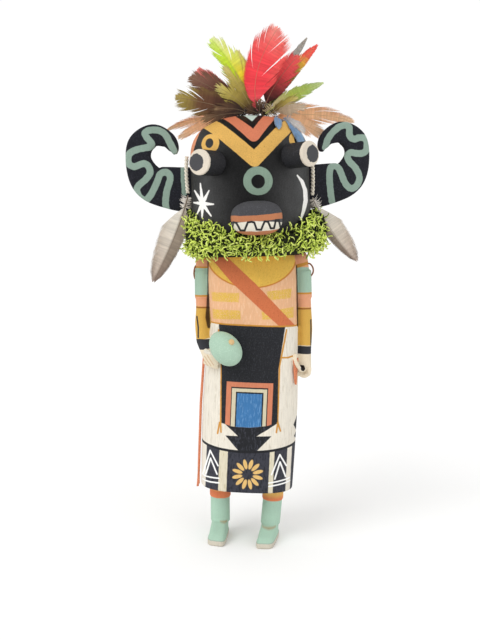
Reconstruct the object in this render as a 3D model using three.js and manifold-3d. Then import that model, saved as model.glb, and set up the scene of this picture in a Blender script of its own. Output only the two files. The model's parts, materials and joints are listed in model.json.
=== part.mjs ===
// A kachina doll: a carved and painted wooden figure with a horned mask, a moss ruff and a feather crest.
// Millimetres. The front faces -Y, +X is the viewer's right, and the soles stand on Z = 0.
// "Right" and "left" in names are the doll's own: its right side lies towards -X.
import * as THREE from "three";
import { mergeVertices } from "three/addons/utils/BufferGeometryUtils.js";
import Module from "manifold-3d";

const wasm = await Module();
wasm.setup();

// Air between a piece and the one that it is set on or against
const CLEARANCE = 0.35;

// Heights of the body, from the soles up
const SOLE_HEIGHT = 3;
const ANKLE_Z = 9.2;
const KNEE_BAND_Z = 23;
const HEM_Z = 31.4;
const WAIST_Z = 122.5;
const SHOULDER_Z = 159;
const NECK_Z = 160;

// Body: half widths and half depths
const HEM_HALF_WIDTH = 25.8;
const KILT_HALF_WIDTH = 26.6;
const WAIST_HALF_WIDTH = 24.9;
const CHEST_HALF_WIDTH = 24.4;
const KILT_HALF_DEPTH = 20.5;
const CHEST_HALF_DEPTH = 18.2;
const WAIST_STEP = 0.6;
const BODY_SQUARENESS = 2.7;
const SHOULDER_SLOPE = 0.05;
const BODY_LEAN = -2.4;

// Legs and boots
const LEG_SPREAD = { right: -14.2, left: 14.4 };
const SHAFT_RADIUS = 5.5;
const KNEE_BAND_PROUD = 0.5;
const FOOT_LENGTH = 26;
const FOOT_WIDTH = 10.2;
const HEEL_Y = 8.6;
const TOE_SHEAR = { right: 0.1, left: 0.2 };
const TOE_SLANT = { right: -0.26, left: 0.04 };
const FOOT_ADVANCE = { right: 0, left: -1.6 };

// Arms
const ARM_RADIUS = 4.4;
const WRIST_RADIUS = 3.8;
const ARMBAND_PROUD = 0.45;
const ARMBAND_LENGTH = 15.5;
const FINGER_RADIUS = 1.35;
const FINGER_COUNT = 4;

// Head and mask
const HEAD_TILT = -4;
const HEAD_YAW = 4;
const HEAD_HEIGHT = 76.2;
const HEAD_RADIUS = 33.1;
const HEAD_TAPER = 0.9;
const CROWN_ROUNDING = 22.2;
const CROWN_POWER = 2.4;
const JAW_Z = 2;
const JAW_ROUNDING = 8;

// Eyes. Here and below, a rise is a share of the head's height
const EYE_RADIUS = 6.5;
const EYE_REACH = 46.2;
const EYE_AZIMUTH = 38;
const EYE_RISE = { right: 0.647, left: 0.685 };
const EYE_CHAMFER = 0.5;

// Snout
const SNOUT_WIDTH = 25.7;
const SNOUT_HEIGHT = 17.4;
const SNOUT_REACH = 47.5;
const SNOUT_RISE = 0.2677;
const SNOUT_SQUARENESS = 2.6;

// Horns: a curl cut from board
const HORN_THICKNESS = 5;
const HORN_Y = 4;
const HORN_ROOT_RISE = 0.4987;
const HORN_REACH = 60.9;
const HORN_SIZE = { right: 1, left: 0.98 };
const HORN_SHIFT = { right: 0.3, left: 0.8 };
const HORN_BEVEL = 0.4;

// Moss ruff
const MOSS_REACH = 40;
const MOSS_BOTTOM_Z = 1.5;
const MOSS_FRONT_RISE = 0.151;
const MOSS_SIDE_RISE = 0.328;
const MOSS_BACK_RISE = 0.2625;
const MOSS_LUMP = 1.1;
const MOSS_SHIFT = 1.8;

// Ear strings and ear feathers
const STRING_RADIUS = 0.8;
const STRING_TOP_RISE = 0.735;
const STRING_AZIMUTH = 87;
const STRING_LENGTH = { right: 21, left: 24 };
const EAR_FEATHER = {
  right: { length: 49.5, outward: 22.8, width: 12.5 },
  left: { length: 41, outward: 30.8, width: 12 },
};

// Rattle
const RATTLE_CENTRE = [-14.7, -26.2, 111.5];
const RATTLE_HALF_AXES = [8.4, 7.2, 9.6];
const RATTLE_ROLL = 38;
const HANDLE_RADIUS = 1.6;
const HANDLE_STUB = 1.1;

// Leather
const HIP_STRIP = { top: 103, bottom: 34, width: 5, thickness: 1.3, azimuth: -91, flare: 1.2 };
const SASH_END = { top: 103, bottom: 91, width: 5.5, thickness: 1.2, azimuth: 56, flare: 0.4 };
const TIE_RADIUS = 0.42;
const TIE_BULGE = { right: 0.4, left: 1.1 };

// Crest
const CREST_OFFSET = 5;
const QUILL_RADIUS = 0.6;
const VANE_THICKNESS = 0.9;
const LANE_PITCH = 1.32;
const LANE_FAN = 0.012;

// Colours from the photograph
const FINISH = {
  peach: { color: 0xeeb592, roughness: 0.75 },
  charcoal: { color: 0x3a3b3e, roughness: 0.7 },
  bone: { color: 0xe9dfd2, roughness: 0.8 },
  moss: { color: 0x98b83c, roughness: 0.95 },
  mint: { color: 0xb4d8c2, roughness: 0.7 },
  string: { color: 0xd8cdbd, roughness: 0.9 },
  plume: { color: 0xd9cdbf, roughness: 0.85 },
  leather: { color: 0xd27a50, roughness: 0.8 },
  thong: { color: 0x8a5636, roughness: 0.85 },
};

const SIDES = { right: -1, left: 1 };
const rad = THREE.MathUtils.degToRad;

// Solids from geometry

function solid(geometry) {
  geometry.deleteAttribute("normal");
  geometry.deleteAttribute("uv");
  const merged = mergeVertices(geometry, 1e-4);
  return new wasm.Manifold(
    new wasm.Mesh({
      numProp: 3,
      vertProperties: new Float32Array(merged.attributes.position.array),
      triVerts: new Uint32Array(merged.index.array),
    }),
  );
}

// A closed skin over rings of points that all have the same count, capped flat at both ends.
function skin(rings) {
  const count = rings[0].length;
  const positions = rings.flat().flatMap((p) => [p.x, p.y, p.z]);
  const index = [];
  for (let r = 0; r + 1 < rings.length; r++) {
    for (let i = 0; i < count; i++) {
      const a = r * count + i;
      const b = r * count + ((i + 1) % count);
      index.push(a, b, b + count, a, b + count, a + count);
    }
  }
  const cap = (ring, first, flip) => {
    const centre = ring.reduce((sum, p) => sum.add(p), new THREE.Vector3()).divideScalar(count);
    const hub = positions.length / 3;
    positions.push(centre.x, centre.y, centre.z);
    for (let i = 0; i < count; i++) {
      const a = first + i;
      const b = first + ((i + 1) % count);
      index.push(hub, flip ? b : a, flip ? a : b);
    }
  };
  cap(rings[0], 0, true);
  cap(rings.at(-1), (rings.length - 1) * count, false);
  const geometry = new THREE.BufferGeometry();
  geometry.setAttribute("position", new THREE.Float32BufferAttribute(positions, 3));
  geometry.setIndex(index);
  return solid(geometry);
}

// One level of a carved body: a superellipse that can be squarer, sheared, slanted at the front and sloped.
function level(z, halfWidth, halfDepth, { x = 0, y = 0, squareness = 2, shear = 0, slant = 0, slope = 0 } = {}) {
  return { z, halfWidth, halfDepth, x, y, squareness, shear, slant, slope };
}

function levelPoint(l, angle) {
  const power = 2 / l.squareness;
  const c = Math.cos(angle);
  const s = Math.sin(angle);
  const u = Math.sign(c) * Math.abs(c) ** power * l.halfWidth;
  const v = Math.sign(s) * Math.abs(s) ** power * l.halfDepth;
  const x = l.x + u + l.shear * v;
  const y = l.y + v + (v < 0 ? l.slant * u : 0);
  return new THREE.Vector3(x, y, l.z + l.slope * (x - l.x));
}

function stack(levels, sides) {
  return skin(
    levels.map((l) => Array.from({ length: sides }, (_, i) => levelPoint(l, (2 * Math.PI * i) / sides))),
  );
}

// A limb along a smooth path of stations { at, radius }, with rounded ends.
function limb(stations, { sides = 10, steps = 1 } = {}) {
  const curve = new THREE.CatmullRomCurve3(stations.map((s) => new THREE.Vector3(...s.at)));
  const radii = stations.map((s) => s.radius);
  const last = (stations.length - 1) * steps;
  const spine = Array.from({ length: last + 1 }, (_, i) => {
    const t = i / last;
    const k = Math.min(Math.floor(t * (radii.length - 1)), radii.length - 2);
    const blend = t * (radii.length - 1) - k;
    return {
      at: curve.getPoint(t),
      along: curve.getTangent(t),
      radius: THREE.MathUtils.lerp(radii[k], radii[k + 1], blend),
    };
  });
  const rounded = (end, sign) =>
    [0.6, 0.95].map((share) => ({
      at: end.at.clone().addScaledVector(end.along, sign * share * end.radius),
      along: end.along,
      radius: end.radius * Math.sqrt(1 - share * share),
    }));
  const full = [...rounded(spine[0], -1).reverse(), ...spine, ...rounded(spine.at(-1), 1)];
  return skin(full.map((s) => circleAcross(s.at, s.along, s.radius, sides)));
}

function circleAcross(at, along, radius, sides) {
  const reference = Math.abs(along.y) > 0.9 ? new THREE.Vector3(1, 0, 0) : new THREE.Vector3(0, 1, 0);
  const u = new THREE.Vector3().crossVectors(reference, along).normalize();
  const v = new THREE.Vector3().crossVectors(along, u);
  return Array.from({ length: sides }, (_, i) => {
    const a = (2 * Math.PI * i) / sides;
    return at.clone().addScaledVector(u, radius * Math.cos(a)).addScaledVector(v, radius * Math.sin(a));
  });
}

const union = (solids) => solids.reduce((whole, s) => whole.add(s));

// What is left of a piece where another stands in it: its largest body.
function cut(whole, tool) {
  const bodies = whole.subtract(tool).decompose();
  return bodies.reduce((largest, b) => (b.volume() > largest.volume() ? b : largest));
}

// Body: kilt and chest in one

const chestX = (z) => BODY_LEAN * THREE.MathUtils.clamp((z - WAIST_Z) / (SHOULDER_Z - WAIST_Z), 0, 1.1);

function kiltLevels(grow = 0) {
  const square = { squareness: BODY_SQUARENESS };
  const middle = (HEM_Z + WAIST_Z) / 2;
  return [
    level(HEM_Z - grow, HEM_HALF_WIDTH + grow, KILT_HALF_DEPTH - 0.5 + grow, square),
    level(HEM_Z + 22, HEM_HALF_WIDTH + 0.5 + grow, KILT_HALF_DEPTH + grow, square),
    level(middle, KILT_HALF_WIDTH + grow, KILT_HALF_DEPTH + grow, square),
    level(WAIST_Z - 18, (KILT_HALF_WIDTH + WAIST_HALF_WIDTH) / 2 + grow, KILT_HALF_DEPTH - 0.6 + grow, square),
    level(WAIST_Z, WAIST_HALF_WIDTH + grow, CHEST_HALF_DEPTH + WAIST_STEP + grow, square),
  ];
}

function chestLevels(grow = 0) {
  const at = (z, width, depth, squareness = BODY_SQUARENESS) => {
    const rise = THREE.MathUtils.clamp((z - WAIST_Z) / (SHOULDER_Z - WAIST_Z), 0, 1);
    return level(z, width + grow, depth + grow, { x: chestX(z), squareness, slope: SHOULDER_SLOPE * rise });
  };
  return [
    at(WAIST_Z + 0.6, WAIST_HALF_WIDTH - WAIST_STEP, CHEST_HALF_DEPTH),
    at(WAIST_Z + 14, CHEST_HALF_WIDTH, CHEST_HALF_DEPTH),
    at(SHOULDER_Z - 12, CHEST_HALF_WIDTH + 0.3, CHEST_HALF_DEPTH),
    at(SHOULDER_Z - 5, CHEST_HALF_WIDTH, CHEST_HALF_DEPTH - 0.6),
    at(SHOULDER_Z - 1, CHEST_HALF_WIDTH - 1.6, CHEST_HALF_DEPTH - 2.4),
    at(SHOULDER_Z + 1.2 + grow, CHEST_HALF_WIDTH - 5, CHEST_HALF_DEPTH - 5, 2.3),
    at(NECK_Z + 5 + grow, 15, 13, 2),
  ];
}

const body = (grow = 0) => stack([...kiltLevels(grow), ...chestLevels(grow)], 28);

// A point on the kilt's or chest's side, `lift` out of it. Azimuth 0 is the front, 90 the doll's left.
function onBody(azimuth, z, lift) {
  const levels = [...kiltLevels(lift), ...chestLevels(lift)];
  const k = Math.max(1, levels.findIndex((l) => l.z >= z));
  const [low, high] = [levels[k - 1], levels[k]];
  const angle = rad(azimuth - 90);
  const p = levelPoint(low, angle).lerp(levelPoint(high, angle), (z - low.z) / (high.z - low.z));
  return p.setZ(z);
}

// Legs

function leg(side) {
  const x = LEG_SPREAD[side];
  const heel = HEEL_Y + FOOT_ADVANCE[side];
  const shaftY = heel - SHAFT_RADIUS - 1;
  const half = FOOT_WIDTH / 2;
  const tread = (z, inset, length, squareness) => {
    const y = heel - length / 2 - inset;
    const shear = TOE_SHEAR[side];
    return level(z, half - inset, length / 2, { x: x + shear * (y - shaftY), y, squareness, shear, slant: TOE_SLANT[side] });
  };
  const foot = [
    tread(0, 0, FOOT_LENGTH, 5),
    tread(SOLE_HEIGHT, 0, FOOT_LENGTH, 5),
    tread(SOLE_HEIGHT + 0.2, 0.4, FOOT_LENGTH - 0.8, 5),
    tread(SOLE_HEIGHT + 2, 0.5, FOOT_LENGTH * 0.86, 4.5),
    tread(ANKLE_Z, 0.6, FOOT_LENGTH * 0.5, 3),
  ];
  const shaft = [
    level(ANKLE_Z - 0.8, SHAFT_RADIUS, SHAFT_RADIUS + 0.4, { x, y: shaftY }),
    level(KNEE_BAND_Z, SHAFT_RADIUS, SHAFT_RADIUS + 0.4, { x: x * 1.05, y: shaftY }),
    level(KNEE_BAND_Z + 0.3, SHAFT_RADIUS + KNEE_BAND_PROUD, SHAFT_RADIUS + 1, { x: x * 1.05, y: shaftY }),
    level(HEM_Z + 2, SHAFT_RADIUS + KNEE_BAND_PROUD, SHAFT_RADIUS + 1, { x: x * 1.06, y: shaftY }),
  ];
  return stack(foot, 16).add(stack(shaft, 16));
}

// Arms: stations from the shoulder to the wrist, then the hand

function armPath(side) {
  const sign = SIDES[side];
  const slope = SHOULDER_SLOPE * CHEST_HALF_WIDTH * sign;
  const outer = (z, extra = 0) => chestX(z) + sign * (CHEST_HALF_WIDTH + ARM_RADIUS * 0.72 + extra);
  const shoulder = [outer(SHOULDER_Z) - sign * 2.2, 0, SHOULDER_Z - 3.5 + slope];
  const upper = [outer(SHOULDER_Z - 12), 0, SHOULDER_Z - 12 + slope];
  const bent = side === "right";
  const elbowZ = SHOULDER_Z - 27 + slope;
  const elbow = [outer(elbowZ, bent ? 0 : 0.6), bent ? -0.4 : -0.2, elbowZ];
  const wrist = bent ? [-27.4, -8.2, 113.2] : [28.9, -2.4, 109.8];
  const middle = [(elbow[0] + wrist[0]) / 2 + sign * 0.5, elbow[1] + (wrist[1] - elbow[1]) * 0.42, (elbow[2] + wrist[2]) / 2];
  return { shoulder, upper, elbow, middle, wrist };
}

function arm(side, grow = 0) {
  const p = armPath(side);
  const r = ARM_RADIUS + grow;
  const sleeve = limb([
    { at: p.shoulder, radius: r + 0.3 },
    { at: p.upper, radius: r },
    { at: p.elbow, radius: r - 0.1 },
    { at: p.middle, radius: r - 0.2 },
    { at: p.wrist, radius: WRIST_RADIUS + grow },
  ]);
  const bandTop = new THREE.Vector3(...p.upper).setZ(p.upper[2] + 5.5);
  const bandBottom = bandTop.clone().lerp(new THREE.Vector3(...p.elbow), ARMBAND_LENGTH / (bandTop.z - p.elbow[2]));
  const along = bandTop.clone().sub(bandBottom).normalize();
  const band = skin(
    [bandBottom, bandTop].map((at) => circleAcross(at, along, r + ARMBAND_PROUD, 16)),
  );
  return union([sleeve, band, hand(side, grow)]);
}

// A fist with carved fingers: the right one holds the rattle's handle, the left one hangs with a hooked thumb.
function hand(side, grow = 0) {
  const { wrist } = armPath(side);
  const right = side === "right";
  const palmEnd = right ? [-22.6, -15.2, 105.6] : [28.6, -4.4, 101.2];
  const palm = limb(
    [
      { at: wrist, radius: WRIST_RADIUS + grow },
      { at: palmEnd, radius: WRIST_RADIUS + 0.7 + grow },
    ],
    { sides: 10, steps: 1 },
  );
  const fingers = Array.from({ length: FINGER_COUNT }, (_, i) => {
    const spread = (i - (FINGER_COUNT - 1) / 2) * FINGER_RADIUS * 1.55;
    const [x, y, z] = palmEnd;
    const knuckle = right ? [x - 2.8, y - 2.6 - spread * 0.35, z + spread] : [x + 2 - i * 0.2, y - spread, z - 2.6];
    const tip = right ? [x + 3.6, y - 4 - spread * 0.35, z + spread - 2.4] : [x + 0.6, y - spread, z - 5.6];
    return limb(
      [
        { at: knuckle, radius: FINGER_RADIUS + grow },
        { at: tip, radius: FINGER_RADIUS * 0.9 + grow },
      ],
      { sides: 6, steps: 1 },
    );
  });
  const thumb = right
    ? [[-24.4, -14.4, 109.6], [-20.8, -17.6, 110.2]]
    : [[25.2, -6.6, 106.4], [26.2, -8, 100.4], [29.4, -8.4, 97.6]];
  return union([palm, ...fingers, limb(thumb.map((at) => ({ at, radius: FINGER_RADIUS + grow })), { sides: 6, steps: 1 })]);
}

// Head, in its own frame: the axis is z, with 0 at the neck

function headRadius(z) {
  const edge = HEAD_HEIGHT - CROWN_ROUNDING;
  if (z < JAW_Z + JAW_ROUNDING) {
    const u = THREE.MathUtils.clamp((JAW_Z + JAW_ROUNDING - z) / JAW_ROUNDING, 0, 1);
    return HEAD_RADIUS - 6 * (1 - Math.sqrt(1 - u * u));
  }
  const straight = HEAD_RADIUS - (HEAD_TAPER * Math.min(z, edge)) / edge;
  const u = THREE.MathUtils.clamp((z - edge) / CROWN_ROUNDING, 0, 1);
  return straight * (1 - u ** CROWN_POWER) ** (1 / CROWN_POWER);
}

// The crown's height above the neck at a distance from the axis.
function crownZ(distance) {
  let [low, high] = [HEAD_HEIGHT - CROWN_ROUNDING, HEAD_HEIGHT];
  for (let i = 0; i < 40; i++) {
    const middle = (low + high) / 2;
    if (headRadius(middle) > distance) low = middle;
    else high = middle;
  }
  return low;
}

function head(grow = 0) {
  const edge = HEAD_HEIGHT - CROWN_ROUNDING;
  const jaw = [0, 0.4, 0.75, 1].map((share) => JAW_Z + share * JAW_ROUNDING);
  const wall = [0.45, 1].map((share) => jaw.at(-1) + share * (edge - jaw.at(-1)));
  const crown = [0.3, 0.5, 0.67, 0.8, 0.9, 0.96, 0.995].map((share) => edge + share * CROWN_ROUNDING);
  const levels = [...jaw, ...wall, ...crown].map((z, i, all) => {
    const shift = i === 0 ? -grow : i > jaw.length + wall.length ? (grow * (i - 5)) / (all.length - 6) : 0;
    const r = headRadius(z) + grow;
    return level(z + shift, r, r);
  });
  return stack(levels, 28);
}

// A point at an azimuth round the head's axis, 0 being the front and 90 the doll's left.
function round(azimuth, distance, z) {
  return new THREE.Vector3(distance * Math.sin(rad(azimuth)), -distance * Math.cos(rad(azimuth)), z);
}

function eye(side) {
  const azimuth = SIDES[side] * EYE_AZIMUTH;
  const z = EYE_RISE[side] * HEAD_HEIGHT;
  const out = round(azimuth, 1, 0);
  const rings = [
    [HEAD_RADIUS - 6, EYE_RADIUS],
    [EYE_REACH - EYE_CHAMFER, EYE_RADIUS],
    [EYE_REACH, EYE_RADIUS - EYE_CHAMFER],
  ].map(([distance, radius]) => circleAcross(round(azimuth, distance, z), out, radius, 20));
  return cut(skin(rings), head(CLEARANCE));
}

function snout(grow = 0) {
  const profile = [
    [HEAD_RADIUS - 5, 1, 1],
    [HEAD_RADIUS + 6, 1, 1],
    [SNOUT_REACH - 4, 0.97, 0.97],
    [SNOUT_REACH - 1.6, 0.88, 0.86],
    [SNOUT_REACH - 0.4, 0.7, 0.64],
    [SNOUT_REACH, 0.45, 0.38],
  ];
  const rings = profile.map(([reach, width, height]) => {
    const across = level(0, (SNOUT_WIDTH / 2) * width + grow, (SNOUT_HEIGHT / 2) * height + grow, { squareness: SNOUT_SQUARENESS });
    return Array.from({ length: 28 }, (_, i) => {
      const p = levelPoint(across, (2 * Math.PI * i) / 28);
      return new THREE.Vector3(p.x, -reach, SNOUT_RISE * HEAD_HEIGHT + p.y);
    });
  });
  return grow ? skin(rings) : cut(skin(rings), head(CLEARANCE));
}

// The horn's middle line as [outwards, upwards, half width], as shares of its reach
const HORN_LINE = [
  [0.46, -0.01, 0.205],
  [0.57, -0.004, 0.202],
  [0.7, 0.013, 0.192],
  [0.87, 0.053, 0.168],
  [0.955, 0.137, 0.146],
  [1.0, 0.28, 0.116],
  [0.972, 0.41, 0.115],
  [0.856, 0.486, 0.1],
  [0.735, 0.448, 0.073],
  [0.68, 0.374, 0.051],
  [0.665, 0.318, 0.018],
];

function horn(side, grow = 0) {
  const sign = SIDES[side];
  const size = HORN_REACH * HORN_SIZE[side];
  const middle = new THREE.CatmullRomCurve3(
    HORN_LINE.map(([x, z]) => new THREE.Vector3(x * size + sign * HORN_SHIFT[side], HORN_ROOT_RISE * HEAD_HEIGHT + z * size, 0)),
  );
  const steps = 22;
  const [outer, inner] = [[], []];
  for (let i = 0; i <= steps; i++) {
    const t = i / steps;
    const k = Math.min(Math.floor(t * (HORN_LINE.length - 1)), HORN_LINE.length - 2);
    const half = THREE.MathUtils.lerp(HORN_LINE[k][2], HORN_LINE[k + 1][2], t * (HORN_LINE.length - 1) - k) * size + grow;
    const at = middle.getPoint(t);
    const along = middle.getTangent(t);
    outer.push(new THREE.Vector2(at.x + along.y * half, at.y - along.x * half));
    inner.push(new THREE.Vector2(at.x - along.y * half, at.y + along.x * half));
  }
  const outline = [...outer, ...inner.reverse()].map((p) => new THREE.Vector2(sign * p.x, p.y));
  const board = new THREE.ExtrudeGeometry(new THREE.Shape(outline), {
    depth: HORN_THICKNESS - 2 * HORN_BEVEL + 2 * grow,
    bevelThickness: HORN_BEVEL,
    bevelSize: HORN_BEVEL,
    bevelOffset: -HORN_BEVEL,
    bevelSegments: 1,
  });
  board.translate(0, 0, HORN_BEVEL);
  board.rotateX(Math.PI / 2);
  board.translate(0, HORN_Y + HORN_THICKNESS / 2 + grow, 0);
  return grow ? solid(board) : cut(solid(board), head(CLEARANCE));
}

// Moss: a lumpy collar, low under the snout and high at the ears

function mossTop(azimuth) {
  const front = Math.max(0, Math.cos(rad(azimuth))) ** 1.5;
  const back = Math.max(0, -Math.cos(rad(azimuth))) ** 2;
  const rise = MOSS_SIDE_RISE - front * (MOSS_SIDE_RISE - MOSS_FRONT_RISE) - back * (MOSS_SIDE_RISE - MOSS_BACK_RISE);
  return rise * HEAD_HEIGHT;
}

function moss() {
  const count = 28;
  const rings = Array.from({ length: count }, (_, i) => {
    const azimuth = (360 * i) / count;
    const lump = MOSS_LUMP * Math.sin(i * 2.4) * Math.cos(i * 1.1);
    const top = mossTop(azimuth) + lump * 0.8;
    const out = MOSS_REACH + lump;
    const inside = HEAD_RADIUS - 10;
    const profile = [
      [inside, MOSS_BOTTOM_Z],
      [out - 8, MOSS_BOTTOM_Z - 0.6 + lump * 0.4],
      [out - 2.5, MOSS_BOTTOM_Z + 4],
      [out, (MOSS_BOTTOM_Z + top) / 2],
      [out - 2, top - 2],
      [HEAD_RADIUS + 2, top],
      [inside, top],
    ];
    return profile.map(([distance, z]) => round(azimuth, distance, z).setX(distance * Math.sin(rad(azimuth)) + MOSS_SHIFT));
  });
  return ringSkin(rings);
}

// A closed ring: the sections run round and meet.
function ringSkin(rings) {
  const count = rings[0].length;
  const positions = rings.flat().flatMap((p) => [p.x, p.y, p.z]);
  const index = [];
  rings.forEach((_, r) => {
    const next = (r + 1) % rings.length;
    for (let i = 0; i < count; i++) {
      const [a, b] = [r * count + i, r * count + ((i + 1) % count)];
      const [c, d] = [next * count + i, next * count + ((i + 1) % count)];
      index.push(a, c, b, b, c, d);
    }
  });
  const geometry = new THREE.BufferGeometry();
  geometry.setAttribute("position", new THREE.Float32BufferAttribute(positions, 3));
  geometry.setIndex(index);
  return solid(geometry);
}

// Feathers: a flat vane with a quill, drawn in x and z and then laid on a sheet y = place(x, z)

const CREST_VANE = [[0, 0], [0.1, 0], [0.2, 0.3], [0.34, 0.78], [0.52, 1], [0.7, 0.95], [0.84, 0.72], [0.94, 0.42], [1, 0.12]];
const EAR_VANE = [[0, 0], [0.05, 0.15], [0.12, 0.6], [0.25, 0.9], [0.42, 1], [0.6, 0.96], [0.78, 0.74], [0.92, 0.4], [1, 0.1]];

function feather({ root, start, lean, length, width, thickness = VANE_THICKNESS, vane = CREST_VANE, place, grow = 0 }) {
  const heading = (degrees) => new THREE.Vector2(Math.sin(rad(degrees)), Math.cos(rad(degrees)));
  const from = new THREE.Vector2(...root);
  const tip = from.clone().addScaledVector(heading(lean), length);
  const bend = from.clone().addScaledVector(heading(start), length * 0.45);
  const curve = new THREE.QuadraticBezierCurve(from, bend, tip);
  const rings = vane.map(([t, share]) => {
    const at = curve.getPoint(t);
    const across = curve.getTangent(t).rotateAround(new THREE.Vector2(), -Math.PI / 2);
    const half = Math.max(QUILL_RADIUS, (share * width) / 2) + grow;
    const deep = Math.max(thickness * (1 - 0.35 * t), 0.5) / 2 + grow;
    const section = [
      [half, 0],
      [half * 0.45, deep],
      [-half * 0.45, deep],
      [-half, 0],
      [-half * 0.45, -deep],
      [half * 0.45, -deep],
    ];
    return section.map(([u, v]) => {
      const x = at.x + across.x * u;
      const z = at.y + across.y * u;
      return new THREE.Vector3(x, place(x, z) + v, z);
    });
  });
  const made = skin(rings);
  return made.volume() > 0 ? made : skin(rings.map((r) => r.reverse()));
}

const string = (side) => {
  const distance = HEAD_RADIUS + CLEARANCE + STRING_RADIUS;
  const length = STRING_LENGTH[side];
  const at = (share, out) =>
    round(SIDES[side] * STRING_AZIMUTH, distance + out, STRING_TOP_RISE * HEAD_HEIGHT - STRING_RADIUS - share * (length - 2 * STRING_RADIUS)).toArray();
  return limb(
    [
      { at: at(0, 0), radius: STRING_RADIUS },
      { at: at(0.5, 0.5), radius: STRING_RADIUS },
      { at: at(1, 0.2), radius: STRING_RADIUS },
    ],
    { sides: 6, steps: 2 },
  );
};

function earFeather(side, grow = 0) {
  const sign = SIDES[side];
  const { length, outward, width } = EAR_FEATHER[side];
  const top = STRING_TOP_RISE * HEAD_HEIGHT - STRING_LENGTH[side] - CLEARANCE - 0.3;
  const start = round(sign * STRING_AZIMUTH, HEAD_RADIUS + CLEARANCE + STRING_RADIUS, top);
  return feather({
    root: [start.x, start.z],
    start: sign * (180 - outward * 0.8),
    lean: sign * (180 - outward),
    length,
    width,
    thickness: 1,
    vane: EAR_VANE,
    place: (x, z) => start.y - (top - z) * 0.34,
    grow,
  });
}

// Crest, front lane first: lean is measured from the head's axis, positive to the doll's left.
// A root is a share of the head's radius, lengths and widths are shares of its height.

const CREST = [
  { name: "blue_long", root: 0.4079, start: 140, lean: 152, length: 0.282, width: 0.085, color: 0x86a5c4, drape: true },
  { name: "blue_short", root: 0.3021, start: -165, lean: -172, length: 0.125, width: 0.059, color: 0x8fa8bd, drape: true },
  { name: "brown_low", root: -0.2719, start: -68, lean: -76, length: 0.472, width: 0.184, color: 0x8a6238 },
  { name: "green", root: 0.1208, start: 52, lean: 64, length: 0.466, width: 0.085, color: 0xb5c060 },
  { name: "red_tall", root: 0.0302, start: -12, lean: 14, length: 0.623, width: 0.262, color: 0xf0555a },
  { name: "brown_high", root: -0.2115, start: -42, lean: -55, length: 0.479, width: 0.144, color: 0x7b4a3a },
  { name: "lime", root: -0.0906, start: -8, lean: -26, length: 0.617, width: 0.157, color: 0xc6dc3c },
  { name: "red_short", root: 0.0755, start: 18, lean: 32, length: 0.499, width: 0.138, color: 0xd8494c },
  { name: "gold", root: -0.0604, start: -3, lean: -14, length: 0.525, width: 0.092, color: 0xdcc63c },
  { name: "olive_red_tip", root: 0.0906, start: 30, lean: 40, length: 0.656, width: 0.092, color: 0xa8a23c },
  { name: "small_red", root: -0.1813, start: -38, lean: -46, length: 0.459, width: 0.092, color: 0xe4584e },
  { name: "grey", root: 0.1208, start: 22, lean: 31, length: 0.663, width: 0.066, color: 0xa6a29c },
  { name: "tan", root: -0.0302, start: -2, lean: -9, length: 0.446, width: 0.066, color: 0xe2cfae },
  { name: "orange_right", root: 0.2719, start: 78, lean: 92.5, length: 0.623, width: 0.105, color: 0xd99a6c },
  { name: "orange_left", root: -0.2719, start: -80, lean: -97, length: 0.545, width: 0.079, color: 0xd99a6c },
];

function crestFeather(row, index) {
  const lane = (index - (CREST.length - 1) / 2) * LANE_PITCH;
  const rootX = CREST_OFFSET + row.root * HEAD_RADIUS;
  const quillAt = Math.hypot(rootX, lane);
  const hub = [CREST_OFFSET, HEAD_HEIGHT];
  const z = crownZ(Math.max(0, quillAt - 1)) + CLEARANCE + QUILL_RADIUS;
  const fanned = (x, zz) => lane * (1 + LANE_FAN * Math.hypot(x - hub[0], zz - hub[1]));
  const overMask = (x, zz) => {
    const front = Math.sqrt(Math.max(0, headRadius(Math.min(zz, HEAD_HEIGHT)) ** 2 - x * x));
    return -Math.max(-lane, front + CLEARANCE + VANE_THICKNESS);
  };
  const made = feather({
    ...row,
    root: [rootX, z],
    length: row.length * HEAD_HEIGHT,
    width: row.width * HEAD_HEIGHT,
    place: row.drape ? overMask : fanned,
  });
  return cut(made, head(CLEARANCE));
}

// Rattle, leather and ties

function rattle() {
  const gourd = new THREE.SphereGeometry(1, 14, 9);
  gourd.scale(...RATTLE_HALF_AXES);
  gourd.rotateY(rad(RATTLE_ROLL));
  gourd.translate(...RATTLE_CENTRE);
  const centre = new THREE.Vector3(...RATTLE_CENTRE);
  const inHand = new THREE.Vector3(-22.2, -13.2, 106.2);
  const along = centre.clone().sub(inHand).normalize();
  const reach = RATTLE_HALF_AXES[1] + HANDLE_STUB;
  const stub = centre.clone().addScaledVector(along, reach);
  const handle = skin([inHand, stub].map((at) => circleAcross(at, along, HANDLE_RADIUS, 8)));
  return cut(union([solid(gourd), handle]), union([body(CLEARANCE), hand("right", CLEARANCE)]));
}

function strip({ top, bottom, width, thickness, azimuth, flare }) {
  const halfTurn = (width / 2 / KILT_HALF_WIDTH) * (180 / Math.PI);
  const steps = 8;
  const rings = Array.from({ length: steps + 1 }, (_, i) => {
    const share = i / steps;
    const z = THREE.MathUtils.lerp(bottom, top, share);
    const lift = CLEARANCE + 0.15 + flare * (1 - share) ** 3;
    return [
      onBody(azimuth + halfTurn, z, lift),
      onBody(azimuth + halfTurn, z, lift + thickness),
      onBody(azimuth - halfTurn, z, lift + thickness),
      onBody(azimuth - halfTurn, z, lift),
    ];
  });
  const made = skin(rings);
  return made.volume() > 0 ? made : skin(rings.map((r) => r.reverse()));
}

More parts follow.
